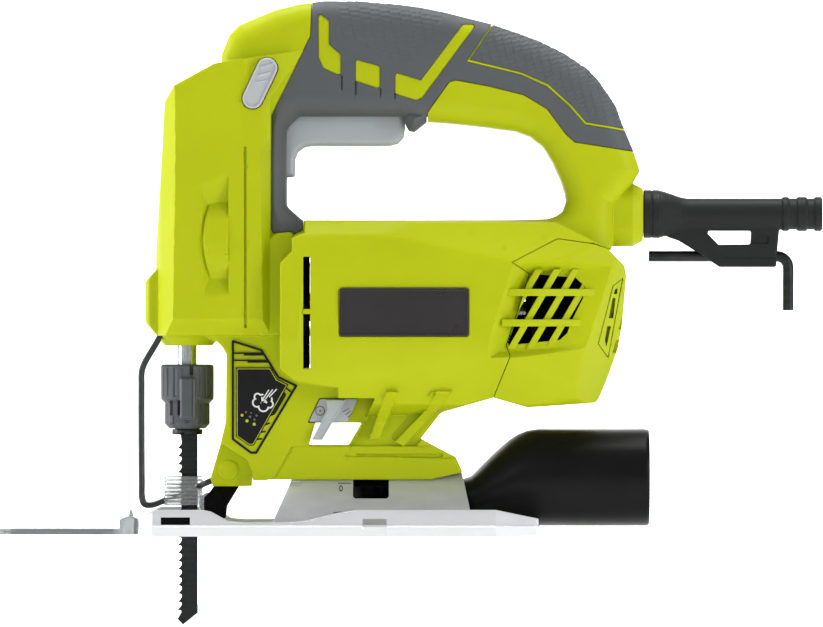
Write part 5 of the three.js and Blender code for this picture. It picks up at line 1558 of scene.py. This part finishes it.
formed("chip_shield_clear", chip_field, (-70, -7, 10), (-52, 7, 24.5), 0.2,
       "housing", "clear_plastic", "chip_shield")
formed("roller_fork_arm", fork_field, (-54, -7, 5), (-37, 7, 32), 0.28,
       "roller_fork", "black_plastic", "roller_fork", look=FORK_BLACK)
ROLLER = [
    (1.4, -2.4), (1.5, -2.6), (4.2, -2.6), (4.5, -2.3), (4.5, -0.9), (4.0, -0.7), (4.0, 0.7), (4.5, 0.9),
    (4.5, 2.3), (4.2, 2.6), (1.5, 2.6), (1.4, 2.4), (1.4, -2.4),
]
roller = lathe("guide_roller_steel", ROLLER, (ROLLER_AXLE[0], 0, ROLLER_AXLE[1]), (0, 1, 0), 48)
place(roller, "guide_roller", "bright_steel", "guide_roller")
PIN = [(0.01, -9.3), (1.7, -9.3), (2, -9), (2, 9), (1.7, 9.3), (0.01, 9.3)]
pin = lathe("fork_pin_steel", PIN, (FORK_PIN[0], 0, FORK_PIN[1]), (0, 1, 0), 32)
place(pin, "housing", "bright_steel", "fork_pin")

# shoe and its fittings
formed("shoe_casting", shoe_field, (-79, -39, -1), (79, 39, 12), 0.5,
       "shoe", "cast_aluminium", "shoe", look=WHITE_METAL)
formed("rim_spring_dark", rim_spring_field, (-72, -36, 2.5), (-55, -32, 9), 0.2,
       "shoe", "black_plastic", look=FORK_BLACK)
formed("bevel_bracket_steel", bracket_field, (-29, -27, 2), (52, 27, 27), 0.42,
       "shoe", "zinc_steel", "bevel_bracket")
formed("bracket_marks", bracket_marks, (-2, -19, 16), (6, -14, 21.5), 0.12,
       "shoe", "zinc_steel", look=INK_BLACK)
formed("clamp_saddle_steel", saddle_field, (2, -24, 11), (22, 24, 24.5), 0.35,
       "housing", "black_steel", "clamp_saddle", look=FORK_BLACK)
formed("bevel_screw_socket", screw_field, (6, -6, 11), (17, 6, 37), 0.25,
       "bevel_screw", "black_steel", "bevel_screw")
formed("line_guide_clear", guide_field, (-134, -14.5, -0.5), (-77, 14.5, 11), 0.25,
       "shoe", "clear_plastic", "line_guide", look=GUIDE_CLEAR)
place(adapter_mesh(), "dust_adapter", "black_plastic", "dust_adapter")

# cord guard and key
formed("cord_guard_rubber", cord_guard_field, (117, -10.5, 103), (189, 10.5, 136), 0.35,
       "housing", "black_rubber", "cord_guard")
KEY_BEND = 4.4
path = [(x, 0, KEY_Z) for x in (120.4, 140, 160, 170.4)]
for a in (0.26, 0.52, 0.79, 1.05, 1.31):
    path.append((170.4 + KEY_BEND * math.sin(a), 0, 104.1 + KEY_BEND * math.cos(a)))
path += [(174.8, 0, z) for z in (104.1, 96, 87.4)]
key = swept("hex_key_bar", smooth_path(path, 1.5), hex_section(2.3))
place(key, "hex_key", "black_steel", "hex_key")

# printed label on the web
for name, field, look in (
    ("black", label_black, INK_BLACK),
    ("white", label_white, INK_WHITE),
    ("lime", label_lime, INK_LIME),
    ("grey", label_grey, INK_GREY),
):
    formed(f"blower_label_{name}", field, (-43, -18.2, 31), (-15, -14.8, 77), 0.16,
           "housing", "black_plastic", look=look)

# ---- the CAD pieces that stay in view
NODE_SLOTS = {part["node"]: part["material_slot"] for part in frame["record"]["subparts"]}
for node, piece in frame["nodes"].items():
    piece.data.materials.clear()
    piece.data.materials.append(LOOKS[NODE_SLOTS[node]])
